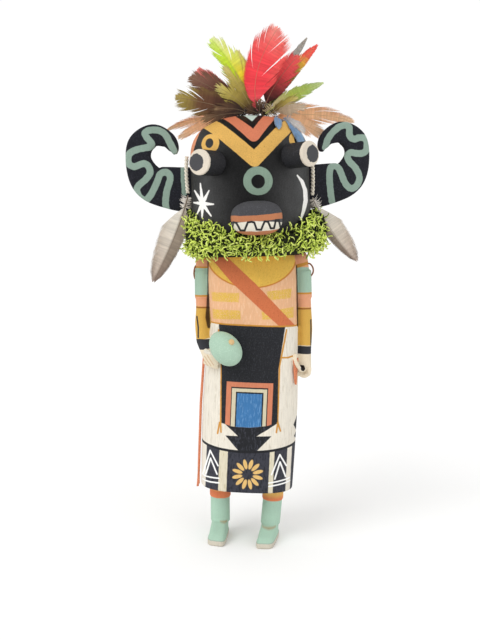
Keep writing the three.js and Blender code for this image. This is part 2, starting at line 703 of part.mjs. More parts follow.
function armbandTie(side) {
  const sign = SIDES[side];
  const { upper } = armPath(side);
  const out = ARM_RADIUS + ARMBAND_PROUD + CLEARANCE + TIE_RADIUS;
  const at = (rise, bulge) => [upper[0] + sign * (out + bulge), upper[1] - 1, upper[2] + rise];
  return limb(
    [at(5, 0.25), at(1, TIE_BULGE[side]), at(-4, TIE_BULGE[side]), at(-8, 0.5)].map((p) => ({ at: p, radius: TIE_RADIUS })),
    { sides: 6, steps: 2 },
  );
}

// Assembly

function piece(name, made, finish) {
  const mesh = made.getMesh();
  const geometry = new THREE.BufferGeometry();
  const positions = new Float32Array(mesh.numVert * 3);
  for (let i = 0; i < mesh.numVert; i++) {
    positions.set(mesh.vertProperties.subarray(i * mesh.numProp, i * mesh.numProp + 3), i * 3);
  }
  geometry.setAttribute("position", new THREE.BufferAttribute(positions, 3));
  geometry.setIndex(new THREE.BufferAttribute(mesh.triVerts, 1));
  const flat = geometry.toNonIndexed();
  flat.computeVertexNormals();
  const result = new THREE.Mesh(flat, new THREE.MeshStandardMaterial({ metalness: 0, ...finish }));
  result.name = name;
  return result;
}

const headGroup = new THREE.Group();
headGroup.position.set(BODY_LEAN, 0, NECK_Z);
headGroup.rotation.set(0, rad(HEAD_TILT), rad(HEAD_YAW));
headGroup.updateMatrix();
const toHead = headGroup.matrix.clone().invert();

const bodyGroup = new THREE.Group();
bodyGroup.add(
  piece(
    "figure",
    union([body(), leg("right"), leg("left"), arm("right"), arm("left"), head().transform(headGroup.matrix.elements)]),
    FINISH.peach,
  ),
  piece("rattle", rattle(), FINISH.mint),
  piece("hip_strip", strip(HIP_STRIP), FINISH.leather),
  piece("sash_end", strip(SASH_END), FINISH.leather),
);
for (const side of Object.keys(SIDES)) {
  bodyGroup.add(piece(`${side}_armband_tie`, armbandTie(side), FINISH.thong));
}

const shoulders = union([body(CLEARANCE), arm("right", CLEARANCE), arm("left", CLEARANCE)]).transform(toHead.elements);
const besideMoss = union(Object.keys(SIDES).flatMap((side) => [earFeather(side, CLEARANCE), horn(side, CLEARANCE)]));
headGroup.add(
  piece("snout", snout(), FINISH.charcoal),
  piece("moss_ruff", cut(moss(), union([head(CLEARANCE), snout(CLEARANCE), shoulders, besideMoss])), FINISH.moss),
);
for (const side of Object.keys(SIDES)) {
  headGroup.add(
    piece(`${side}_eye`, eye(side), FINISH.bone),
    piece(`${side}_horn`, horn(side), FINISH.charcoal),
    piece(`${side}_ear_string`, string(side), FINISH.string),
    piece(`${side}_ear_feather`, earFeather(side), FINISH.plume),
  );
}
CREST.forEach((row, i) => {
  headGroup.add(piece(`crest_${row.name}`, crestFeather(row, i), { color: row.color, roughness: 0.85 }));
});

// The origin is under the middle of the whole doll, on the ground
const group = new THREE.Group();
group.add(bodyGroup, headGroup);
const box = new THREE.Box3().setFromObject(group, true);
group.position.set(-(box.min.x + box.max.x) / 2, -(box.min.y + box.max.y) / 2, -box.min.z);

export default group;
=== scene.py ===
"""Looks of a carved and painted kachina doll: mask, body paint, moss ruff, feathers, leather and rattle."""

import json
import logging
import math
import random
from collections.abc import Callable, Sequence
from dataclasses import dataclass
from enum import Enum, IntEnum

import bmesh
import bpy
from mathutils import Matrix, Vector

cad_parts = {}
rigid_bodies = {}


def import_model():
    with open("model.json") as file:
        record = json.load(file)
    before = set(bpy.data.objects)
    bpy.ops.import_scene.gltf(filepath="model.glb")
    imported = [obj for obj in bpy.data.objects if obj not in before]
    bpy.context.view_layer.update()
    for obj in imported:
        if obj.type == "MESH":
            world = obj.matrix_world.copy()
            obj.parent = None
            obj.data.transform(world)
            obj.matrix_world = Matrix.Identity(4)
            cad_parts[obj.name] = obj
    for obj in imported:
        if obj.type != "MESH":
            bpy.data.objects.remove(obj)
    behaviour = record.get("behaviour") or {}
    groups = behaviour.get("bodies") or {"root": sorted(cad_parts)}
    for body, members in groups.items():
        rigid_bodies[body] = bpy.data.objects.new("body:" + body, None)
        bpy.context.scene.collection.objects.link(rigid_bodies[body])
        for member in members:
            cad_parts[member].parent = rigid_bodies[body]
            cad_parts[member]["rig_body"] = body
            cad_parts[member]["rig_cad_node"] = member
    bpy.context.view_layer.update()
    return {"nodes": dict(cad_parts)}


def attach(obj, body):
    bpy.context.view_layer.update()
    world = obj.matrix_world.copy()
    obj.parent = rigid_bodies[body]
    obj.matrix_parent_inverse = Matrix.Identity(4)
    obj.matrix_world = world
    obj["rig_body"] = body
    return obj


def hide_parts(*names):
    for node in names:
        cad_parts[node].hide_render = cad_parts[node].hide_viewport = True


logging.basicConfig(level=logging.INFO, format="%(name)s: %(message)s")
log = logging.getLogger("kachina")

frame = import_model()

MM = 0.001
# The body's own axis and the head's neck point, in millimetres of the doll's frame
AXIS = Vector((6.549, 4.051, 0.0))
NECK = Vector((4.149, 4.051, 160.0))
HEAD_HEIGHT = 76.2
HEAD_RADIUS = 33.1
HEAD_TILT = math.radians(-4)
HEAD_YAW = math.radians(4)
TO_WORLD = Matrix.Translation(NECK) @ Matrix.Rotation(HEAD_TILT, 4, "Y") @ Matrix.Rotation(HEAD_YAW, 4, "Z")
TURN_TO_WORLD = TO_WORLD.to_3x3()
ORIGIN = (0.0, 0.0, 0.0)

Point = tuple[float, float]
Triple = tuple[float, float, float]
Ring = list[Vector]
Faces = list[tuple[int, ...]]
Stops = tuple[tuple[float, int], ...]
Depth = Callable[[float, float], float]
Object = bpy.types.Object
Material = bpy.types.Material
Tree = bpy.types.NodeTree
Socket = bpy.types.NodeSocket


def linear(hex_colour: int) -> tuple[float, float, float, float]:
    """Turns a colour as painted into the renderer's own numbers.

    Args:
        hex_colour: the colour as 0xRRGGBB.

    Returns:
        Red, green, blue and alpha.
    """
    parts = [((hex_colour >> shift) & 255) / 255 for shift in (16, 8, 0)]
    red, green, blue = ((c / 12.92 if c <= 0.04045 else ((c + 0.055) / 1.055) ** 2.4) for c in parts)
    return red, green, blue, 1.0


def lerp(a: float, b: float, t: float) -> float:
    """Returns the number that lies a share t of the way from a to b."""
    return a + (b - a) * t


def clamp(t: float, top: float = 1.0) -> float:
    """Keeps a number between nought and its top."""
    return min(top, max(0.0, t))


def squared(wave: float, power: float) -> float:
    """Draws a sine or cosine towards a square wave, the more so the smaller the power."""
    return math.copysign(abs(wave) ** power, wave)


def deselect() -> None:
    """Leaves nothing selected, whatever was loaded or made before."""
    if bpy.context.object and bpy.context.object.mode != "OBJECT":
        bpy.ops.object.mode_set(mode="OBJECT")
    bpy.ops.object.select_all(action="DESELECT")


def activate(obj: Object) -> None:
    """Selects one object alone and makes it the active one."""
    deselect()
    obj.select_set(True)
    bpy.context.view_layer.objects.active = obj


@dataclass(frozen=True)
class Sight:
    """The photograph's viewpoint, which places what is painted on the doll."""

    mm_per_px: float = 0.556
    focal_px: float = 850.0
    roll: float = math.atan(0.0405)
    pitch: float = math.atan(86 / 850)
    axis_px: float = 253.7
    height: float = 172.2
    middle_px: Point = (240, 320)
    sensor_width: float = 36

    @property
    def distance(self) -> float:
        """The way from the lens to the body's axis in millimetres."""
        return self.focal_px * self.mm_per_px

    @property
    def lens(self) -> Vector:
        """The lens's place in millimetres."""
        return Vector(
            (
                AXIS.x - (self.axis_px - self.middle_px[0]) * self.mm_per_px, AXIS.y - self.distance,
                self.height,
            )
        )

    def turn(self) -> Matrix:
        """Returns the camera's turn: a little down, and a little to the side."""
        c, s = math.cos(self.pitch), math.sin(self.pitch)
        up = Vector((0, s, c))
        right = Vector((1, 0, 0))
        cr, sr = math.cos(self.roll), math.sin(self.roll)
        axes = (right * cr + up * sr, up * cr - right * sr, Vector((0, -c, s)))
        return Matrix([list(a) for a in axes]).transposed()

    def ray(self, px: float, py: float) -> Vector:
        """Returns the direction in which a spot of the photograph lies from the lens."""
        middle_x, middle_y = self.middle_px
        local = Vector(((px - middle_x) / self.focal_px, (middle_y - py) / self.focal_px, -1))
        return self.turn() @ local

    def meet(self, px: float, py: float, depth: Depth) -> Point:
        """Finds where the line of sight meets a surface.

        Args:
            px: pixels from the left.
            py: pixels from the top.
            depth: the surface's y for an x and a z, in millimetres.

        Returns:
            The x and z of the spot in millimetres.
        """
        ray, lens = self.ray(px, py), self.lens
        y = depth(0, lens.z)
        for _ in range(8):
            reach = (y - lens.y) / ray.y
            x, z = lens.x + ray.x * reach, lens.z + ray.z * reach
            y = (y + depth(x, z)) / 2
        return x, z

    def make(self) -> None:
        """Adds the camera."""
        bpy.ops.object.camera_add(location=self.lens * MM)
        camera = bpy.context.object
        camera.name = "photo_camera"
        camera.matrix_world = Matrix.Translation(self.lens * MM) @ self.turn().to_4x4()
        camera.data.sensor_width = self.sensor_width
        camera.data.lens = self.sensor_width * self.focal_px / (2 * self.middle_px[1])
        camera.data.clip_start, camera.data.clip_end = 0.01, 20
        bpy.context.scene.camera = camera


SIGHT = Sight()


class Carver:
    """Shapes a solid from rings, as turned and carved work is shaped level by level."""

    # How far out along its radius each level of a limb's rounded end lies
    ROUNDING = (0.4, 0.7, 0.9, 0.985)

    @staticmethod
    def loft(name: str, rings: Sequence[Ring]) -> Object:
        """Draws a ring out level by level into one closed skin.

        Args:
            name: the piece's name.
            rings: the levels, in millimetres, all of one count of points.

        Returns:
            The new object, in metres.
        """
        deselect()
        bpy.ops.mesh.primitive_circle_add(vertices=len(rings[0]), radius=1, fill_type="NGON")
        made = bpy.context.object
        made.name = name
        bpy.ops.object.mode_set(mode="EDIT")
        bpy.ops.mesh.select_all(action="SELECT")
        mesh = bmesh.from_edit_mesh(made.data)
        # Each vertex keeps its place in the ring as x and its level as z until the skin is drawn out
        for i, v in enumerate(sorted(mesh.verts, key=lambda v: math.atan2(v.co.y, v.co.x) % math.tau)):
            v.co = Vector((i, 0, 0))
        for level in range(1, len(rings)):
            bpy.ops.mesh.extrude_region_move()
            mesh = bmesh.from_edit_mesh(made.data)
            for v in mesh.verts:
                if v.select:
                    v.co.z = level
        mesh = bmesh.from_edit_mesh(made.data)
        for v in mesh.verts:
            v.co = rings[round(v.co.z)][round(v.co.x)] * MM
        bpy.ops.mesh.select_all(action="SELECT")
        bpy.ops.mesh.normals_make_consistent(inside=False)
        bpy.ops.object.mode_set(mode="OBJECT")
        bpy.ops.object.shade_smooth()
        return made

    @staticmethod
    def join(name: str, parts: Sequence[Object]) -> Object:
        """Makes one mesh of several and names it."""
        deselect()
        for part in parts:
            part.select_set(True)
        bpy.context.view_layer.objects.active = parts[0]
        if len(parts) > 1:
            bpy.ops.object.join()
        parts[0].name = name
        return parts[0]

    @staticmethod
    def apply(obj: Object, kind: str, **settings: object) -> None:
        """Adds a modifier with its settings and applies it."""
        activate(obj)
        modifier = obj.modifiers.new(kind.title(), kind)
        for key, value in settings.items():
            setattr(modifier, key, value)
        bpy.ops.object.modifier_apply(modifier=modifier.name)

    @classmethod
    def fuse(cls, obj: Object, voxel: float, rounds: int) -> None:
        """Fuses what overlaps into one skin of even faces, `voxel` millimetres wide, and evens it out."""
        obj.data.remesh_voxel_size = voxel * MM
        activate(obj)
        bpy.ops.object.voxel_remesh()
        cls.apply(obj, "SMOOTH", factor=0.5, iterations=rounds)
        bpy.ops.object.shade_smooth()

    @staticmethod
    def skin(name: str, vertices: Sequence[Vector], faces: Faces) -> Object:
        """Makes one object of vertices in metres and the faces between them."""
        mesh = bpy.data.meshes.new(name)
        mesh.from_pydata(vertices, [], faces)
        made = bpy.data.objects.new(name, mesh)
        bpy.context.scene.collection.objects.link(made)
        return made

    @staticmethod
    def superellipse(centre: Vector, half: Point, power: float, sides: int) -> Ring:
        """A level ring that is squarer than a circle when its power is over 2."""
        ring = []
        for i in range(sides):
            c, s = math.cos(math.tau * i / sides), math.sin(math.tau * i / sides)
            x, y = squared(c, 2 / power) * half[0], squared(s, 2 / power) * half[1]
            ring.append(centre + Vector((x, y, 0)))
        return ring

    @staticmethod
    def across(at: Vector, along: Vector, radius: float, sides: int) -> Ring:
        """A circle across a path."""
        along = along.normalized()
        reference = Vector((1, 0, 0)) if abs(along.y) > 0.9 else Vector((0, 1, 0))
        u = reference.cross(along).normalized()
        v = along.cross(u)
        angles = (math.tau * i / sides for i in range(sides))
        return [at + u * radius * math.cos(a) + v * radius * math.sin(a) for a in angles]

    @staticmethod
    def spline(points: Sequence[Vector], steps: int) -> list[Vector]:
        """A smooth line through points, with as many steps between each two."""
        ends = [points[0] * 2 - points[1], *points, points[-1] * 2 - points[-2]]
        line = []
        for k in range(len(points) - 1):
            a, b, c, d = ends[k : k + 4]
            for i in range(steps + (k == len(points) - 2)):
                t = i / steps
                bend, twist = a * 2 - b * 5 + c * 4 - d, b * 3 - a - c * 3 + d
                line.append((b * 2 + (c - a) * t + bend * t**2 + twist * t**3) / 2)
        return line

    @classmethod
    def limb(
        cls, name: str, stations: Sequence[tuple[Triple, float]], sides: int = 20, steps: int = 6,
    ) -> Object:
        """A round limb through stations of a place and a radius, with rounded ends.

        Args:
            name: the piece's name.
            stations: places and radii in millimetres.
            sides: points round it.
            steps: levels between two stations.

        Returns:
            The new object.
        """
        line = cls.spline([Vector(at) for at, _ in stations], steps)
        last = len(line) - 1
        rings = []
        for i, at in enumerate(line):
            along = (line[min(i + 1, last)] - line[max(i - 1, 0)]).normalized()
            k = min(i // steps, len(stations) - 2)
            radius = lerp(stations[k][1], stations[k + 1][1], i / steps - k)
            ends = cls.ROUNDING[::-1] if i == 0 else cls.ROUNDING if i == last else ()
            way = along * (-1 if i == 0 else 1)
            caps = [
                cls.across(at + way * share * radius, along, radius * math.sqrt(1 - share**2), sides)
                for share in ends
            ]
            body = [cls.across(at, along, radius, sides)]
            rings += caps + body if i == 0 else body + caps
        return cls.loft(name, rings)

    @staticmethod
    def cad_copy(name: str, node: str) -> Object:
        """Copies a CAD node into a new piece with its loose triangles merged."""
        made = frame["nodes"][node].copy()
        made.data = made.data.copy()
        bpy.context.scene.collection.objects.link(made)
        made.parent = None
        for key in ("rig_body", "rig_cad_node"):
            if key in made:
                del made[key]
        made.name = name
        activate(made)
        bpy.ops.object.mode_set(mode="EDIT")
        bpy.ops.mesh.select_all(action="SELECT")
        bpy.ops.mesh.remove_doubles(threshold=1e-6)
        bpy.ops.mesh.normals_make_consistent(inside=False)
        bpy.ops.object.mode_set(mode="OBJECT")
        return made


class Effect(Enum):
    """The effects that more than one finish uses, each a node group."""

    STROKE = "brush stroke"
    EDGE = "straight edge"
    OVAL = "oval mark"
    BLOCK = "block mark"
    HAND = "hand wobble"
    FILM = "paint film"
    PLUME = "plume shading"
    TURN = "turned copies"


class Nodes:
    """A node tree with short ways to add and link nodes."""

    def __init__(self, tree: Tree) -> None:
        """Takes the tree to work in."""
        self.tree = tree

    def feed(self, socket: Socket, value: object) -> None:
        """Links a socket to the one that feeds it, or sets a plain value on it."""
        if isinstance(value, Socket):
            self.tree.links.new(value, socket)
        else:
            socket.default_value = value

    def add(
        self, kind: str, inputs: dict[int | str, object] | None = None, **settings: object,
    ) -> bpy.types.Node:
        """Adds a node.

        Args:
            kind: the node's type without its ShaderNode part.
            inputs: sockets by index or name, each with a value or with the socket that feeds it.
            settings: the node's own settings.

        Returns:
            The node.
        """
        node = self.tree.nodes.new("ShaderNode" + kind)
        for key, value in settings.items():
            setattr(node, key, value)
        for key, value in (inputs or {}).items():
            self.feed(node.inputs[key], value)
        return node

    def math(self, operation: str, a: object, b: object = 0.0, clamp: bool = False) -> Socket:
        """Adds a sum and returns its result."""
        return self.add("Math", {0: a, 1: b}, operation=operation, use_clamp=clamp).outputs[0]

    def plus(self, a: object, b: object) -> Socket:
        """Adds two numbers."""
        return self.math("ADD", a, b)

    def minus(self, a: object, b: object) -> Socket:
        """Takes the second number from the first."""
        return self.math("SUBTRACT", a, b)

    def times(self, a: object, b: object) -> Socket:
        """Multiplies two numbers."""
        return self.math("MULTIPLY", a, b)

    def swing(self, noise: Socket, by: object) -> Socket:
        """A noise's swing round nought, `by` from its lowest to its highest."""
        return self.times(self.minus(noise, 0.5), by)

    def merge(self, operation: str, marks: Sequence[Socket]) -> Socket:
        """Takes the smallest or the largest of several numbers."""
        found = marks[0]
        for mark in marks[1:]:
            found = self.math(operation, found, mark)
        return found

    def vector(self, operation: str, a: object, b: object = ORIGIN) -> Socket:
        """Adds a vector sum and returns its result, which is a number for three of the sums."""
        node = self.add("VectorMath", {0: a, 1: b}, operation=operation)
        return node.outputs[1 if operation in ("DOT_PRODUCT", "LENGTH", "DISTANCE") else 0]

    def scale(self, vector: Socket, by: object) -> Socket:
        """Makes a vector longer or shorter."""
        return self.add("VectorMath", {0: vector, "Scale": by}, operation="SCALE").outputs[0]

    def mm(self, place: Socket) -> Socket:
        """Turns a place in metres into millimetres."""
        return self.scale(place, 1000.0)

    def split(self, vector: Socket) -> Sequence[Socket]:
        """Parts a vector into its x, y and z."""
        return self.add("SeparateXYZ", {0: vector}).outputs

    def noise(self, place: Socket, scale: float, detail: float, roughness: float = 0.5) -> Socket:
        """Adds a noise and returns its value."""
        inputs = {"Vector": place, "Scale": scale, "Detail": detail, "Roughness": roughness}
        return self.add("TexNoise", inputs).outputs[0]

    def toned(self, colour: Socket, tone: Socket, by: object) -> Socket:
        """Makes a colour lighter or darker by a tone round nought."""
        light = self.plus(self.times(tone, by), 1.0)
        return self.vector(
            "MULTIPLY", colour, self.add("CombineXYZ", {0: light, 1: light, 2: light}).outputs[0],
        )

    def mix(self, share: object, a: object, b: object) -> Socket:
        """Mixes two colours and returns the result."""
        node = self.add("Mix", data_type="RGBA")
        for index, value in ((0, share), (6, a), (7, b)):
            self.feed(node.inputs[index], linear(value) if isinstance(value, int) else value)
        return node.outputs[2]

    def ramp(self, along: Socket, stops: Stops) -> Socket:
        """Adds the colours that follow one another along a number from 0 to 1."""
        node = self.add("ValToRGB", {0: along})
        elements = node.color_ramp.elements
        for element, (place, colour) in zip(elements, (stops[0], stops[-1])):
            element.position, element.color = place, linear(colour)
        for place, colour in stops[1:-1]:
            elements.new(place).color = linear(colour)
        return node.outputs[0]

    def group(self, effect: Effect, **inputs: object) -> Sequence[Socket]:
        """Places a shared effect and returns its outputs."""
        node = self.tree.nodes.new("ShaderNodeGroup")
        node.node_tree = EFFECTS.tree(effect)
        for key, value in inputs.items():
            self.feed(node.inputs[key], value)
        return node.outputs


class Effects:
    """Builds each shared effect once."""

    def __init__(self) -> None:
        """Starts with none built."""
        self.built: dict[Effect, Tree] = {}

    def tree(self, effect: Effect) -> Tree:
        """Returns the effect's group, built on first use by the method of its name."""
        if effect not in self.built:
            self.built[effect] = getattr(self, effect.name.lower())()
        return self.built[effect]

    def start(
        self, effect: Effect, ins: dict[str, object], outs: dict[str, str]
    ) -> tuple[Nodes, Sequence[Socket], Sequence[Socket]]:
        """Starts a group.

        Args:
            effect: which one.
            ins: input names with their default values; a tuple of three is a vector, of four a colour.
            outs: output names with their socket types.

        Returns:
            The tree's helper, the sockets of its input node and those of its output node.
        """
        tree = bpy.data.node_groups.new(effect.value, "ShaderNodeTree")
        for name, value in ins.items():
            size = len(value) if isinstance(value, tuple) else 1
            kind = {1: "NodeSocketFloat", 3: "NodeSocketVector", 4: "NodeSocketColor"}[size]
            tree.interface.new_socket(name, in_out="INPUT", socket_type=kind).default_value = value
        for name, kind in outs.items():
            tree.interface.new_socket(name, in_out="OUTPUT", socket_type="NodeSocket" + kind)
        return Nodes(tree), tree.nodes.new("NodeGroupInput").outputs, tree.nodes.new(
            "NodeGroupOutput"
        ).inputs

    def stroke(self) -> Tree:
        """Distance to a brush stroke from one spot to another, less its half width."""
        ins = {"Spot": ORIGIN, "From": ORIGIN, "To": ORIGIN, "Half": 1.0, "Swell": 0.0}
        n, i, o = self.start(Effect.STROKE, ins, {"Distance": "Float"})
        pa = n.vector("SUBTRACT", i["Spot"], i["From"])
        ba = n.vector("SUBTRACT", i["To"], i["From"])
        share = n.math("DIVIDE", n.vector("DOT_PRODUCT", pa, ba), n.vector("DOT_PRODUCT", ba, ba), True)
        far = n.vector("DISTANCE", pa, n.scale(ba, share))
        n.feed(o[0], n.minus(far, n.plus(i["Half"], n.times(i["Swell"], share))))
        return n.tree

    def edge(self) -> Tree:
        """Distance to a straight edge, negative on its left going from one end to the other."""
        n, i, o = self.start(
            Effect.EDGE, {"Spot": ORIGIN, "From": ORIGIN, "To": ORIGIN}, {"Distance": "Float"},
        )
        pa = n.vector("SUBTRACT", i["Spot"], i["From"])
        ba = n.vector("NORMALIZE", n.vector("SUBTRACT", i["To"], i["From"]))
        n.feed(o[0], n.split(n.vector("CROSS_PRODUCT", pa, ba))[2])
        return n.tree

    def oval(self) -> Tree:
        """Distance to an oval's outline, negative inside."""
        ins = {"Spot": ORIGIN, "Centre": ORIGIN, "Radii": (1.0,) * 3}
        n, i, o = self.start(Effect.OVAL, ins, {"Distance": "Float"})
        off = n.vector("SUBTRACT", i["Spot"], i["Centre"])
        share = n.vector("LENGTH", n.vector("DIVIDE", off, i["Radii"]))
        radii = n.split(i["Radii"])
        n.feed(o[0], n.times(n.minus(share, 1.0), n.math("MINIMUM", radii[0], radii[1])))
        return n.tree

    def block(self) -> Tree:
        """Distance to an upright block's outline, negative inside."""
        ins = {"Spot": ORIGIN, "Centre": ORIGIN, "Halves": (1.0,) * 3}
        n, i, o = self.start(Effect.BLOCK, ins, {"Distance": "Float"})
        off = n.vector("ABSOLUTE", n.vector("SUBTRACT", i["Spot"], i["Centre"]))
        over = n.split(n.vector("SUBTRACT", off, i["Halves"]))
        n.feed(o[0], n.math("MAXIMUM", over[0], over[1]))
        return n.tree

    def turn(self) -> Tree:
        """Folds the surroundings of a centre into one sector, so that one mark stands for all."""
        ins = {"Spot": ORIGIN, "Centre": ORIGIN, "Sector": 0.5, "Start": 0.0}
        n, i, o = self.start(Effect.TURN, ins, {"Spot": "Vector"})
        off = n.vector("SUBTRACT", i["Spot"], i["Centre"])
        part = n.split(off)
        angle = n.plus(n.math("ARCTAN2", part[1], part[0]), i["Start"])
        folded = n.math("PINGPONG", angle, n.times(i["Sector"], 0.5))
        reach = n.vector("LENGTH", off)
        x, y = (n.times(reach, n.math(wave, folded)) for wave in ("COSINE", "SINE"))
        n.feed(o[0], n.add("CombineXYZ", {0: x, 1: y}).outputs[0])
        return n.tree

    def hand(self) -> Tree:
        """The front's x and z in millimetres, a little unsteady as a brush is, and the depth."""
        n, i, o = self.start(
            Effect.HAND, {"Place": ORIGIN, "Sway": 0.25}, {"Spot": "Vector", "Back": "Float"},
        )
        mm = n.mm(i["Place"])
        noise = n.add("TexNoise", {"Vector": mm, "Scale": 0.45, "Detail": 3.0, "Roughness": 0.6})
        sway = n.scale(n.vector("SUBTRACT", noise.outputs["Color"], (0.5, 0.5, 0.5)), i["Sway"])
        moved = n.split(n.vector("ADD", mm, sway))
        n.feed(o[0], n.add("CombineXYZ", {0: moved[0], 1: moved[2]}).outputs[0])
        n.feed(o[1], n.split(mm)[1])
        return n.tree

    def film(self) -> Tree:
        """Thin paint over carved wood: cloudy tone, fibres, pores and a soft relief."""
        n, i, o = self.start(
            Effect.FILM,
            {"Colour": (1.0,) * 4, "Place": ORIGIN, "Cloud": 0.1, "Fibre": 0.1, "Pore": 0.1},
            {"Colour": "Color", "Roughness": "Float", "Height": "Float"},
        )
        mm = n.mm(i["Place"])
        cloud = n.noise(mm, 0.13, 4.0, 0.6)
        fibre = n.noise(n.add("Mapping", {0: mm, 3: (2.2, 2.2, 0.16)}).outputs[0], 0.9, 4.0, 0.65)
        pore = n.noise(mm, 2.4, 3.0, 0.7)
        tone = n.plus(n.swing(cloud, i["Cloud"]), n.swing(fibre, i["Fibre"]))
        n.feed(o[0], n.toned(i["Colour"], n.plus(tone, n.swing(pore, i["Pore"])), 2.0))
        n.feed(o[1], n.plus(n.times(cloud, 0.3), 0.5))
        n.feed(o[2], n.plus(n.times(fibre, 0.6), n.times(pore, 0.5)))
        return n.tree

    def plume(self) -> Tree:
        """Barb by barb variation of a feather's colour, from its map of length and breadth."""
        ins = {"Colour": (1.0,) * 4, "Along": 0.0, "Across": 0.0, "Streak": 0.3}
        n, i, o = self.start(Effect.PLUME, ins, {"Colour": "Color", "Height": "Float"})
        lines = n.add(
            "CombineXYZ", {0: n.times(i["Along"], 160.0), 1: n.times(i["Across"], 2.0)},
        ).outputs[0]
        fine = n.noise(lines, 1.0, 2.0)
        broad = n.noise(lines, 0.22, 1.0)
        n.feed(o[0], n.toned(i["Colour"], n.plus(n.minus(fine, 0.5), n.minus(broad, 0.5)), i["Streak"]))
        n.feed(o[1], fine)
        return n.tree


EFFECTS = Effects()


class Finish(Nodes):
    """A material's nodes, with the place on the object and the shader at hand."""

    def __init__(self, name: str) -> None:
        """Starts the material.

        Args:
            name: the material's name.
        """
        self.material = bpy.data.materials.new(name)
        self.material.use_nodes = True
        super().__init__(self.material.node_tree)
        self.place = self.add("TexCoord").outputs["Object"]

    def shade(self, inputs: dict[str, object]) -> Material:
        """Feeds the shader by its sockets' names and returns the material."""
        shader = self.tree.nodes["Principled BSDF"]
        for name, value in inputs.items():
            self.feed(shader.inputs[name], value)
        return self.material

    def bump(self, height: Socket, depth: float, strength: float = 1.0) -> Socket:
        """Turns a height into a normal; the depth is in millimetres."""
        return self.add("Bump", {"Strength": strength, "Distance": depth * MM, "Height": height}).outputs[0]


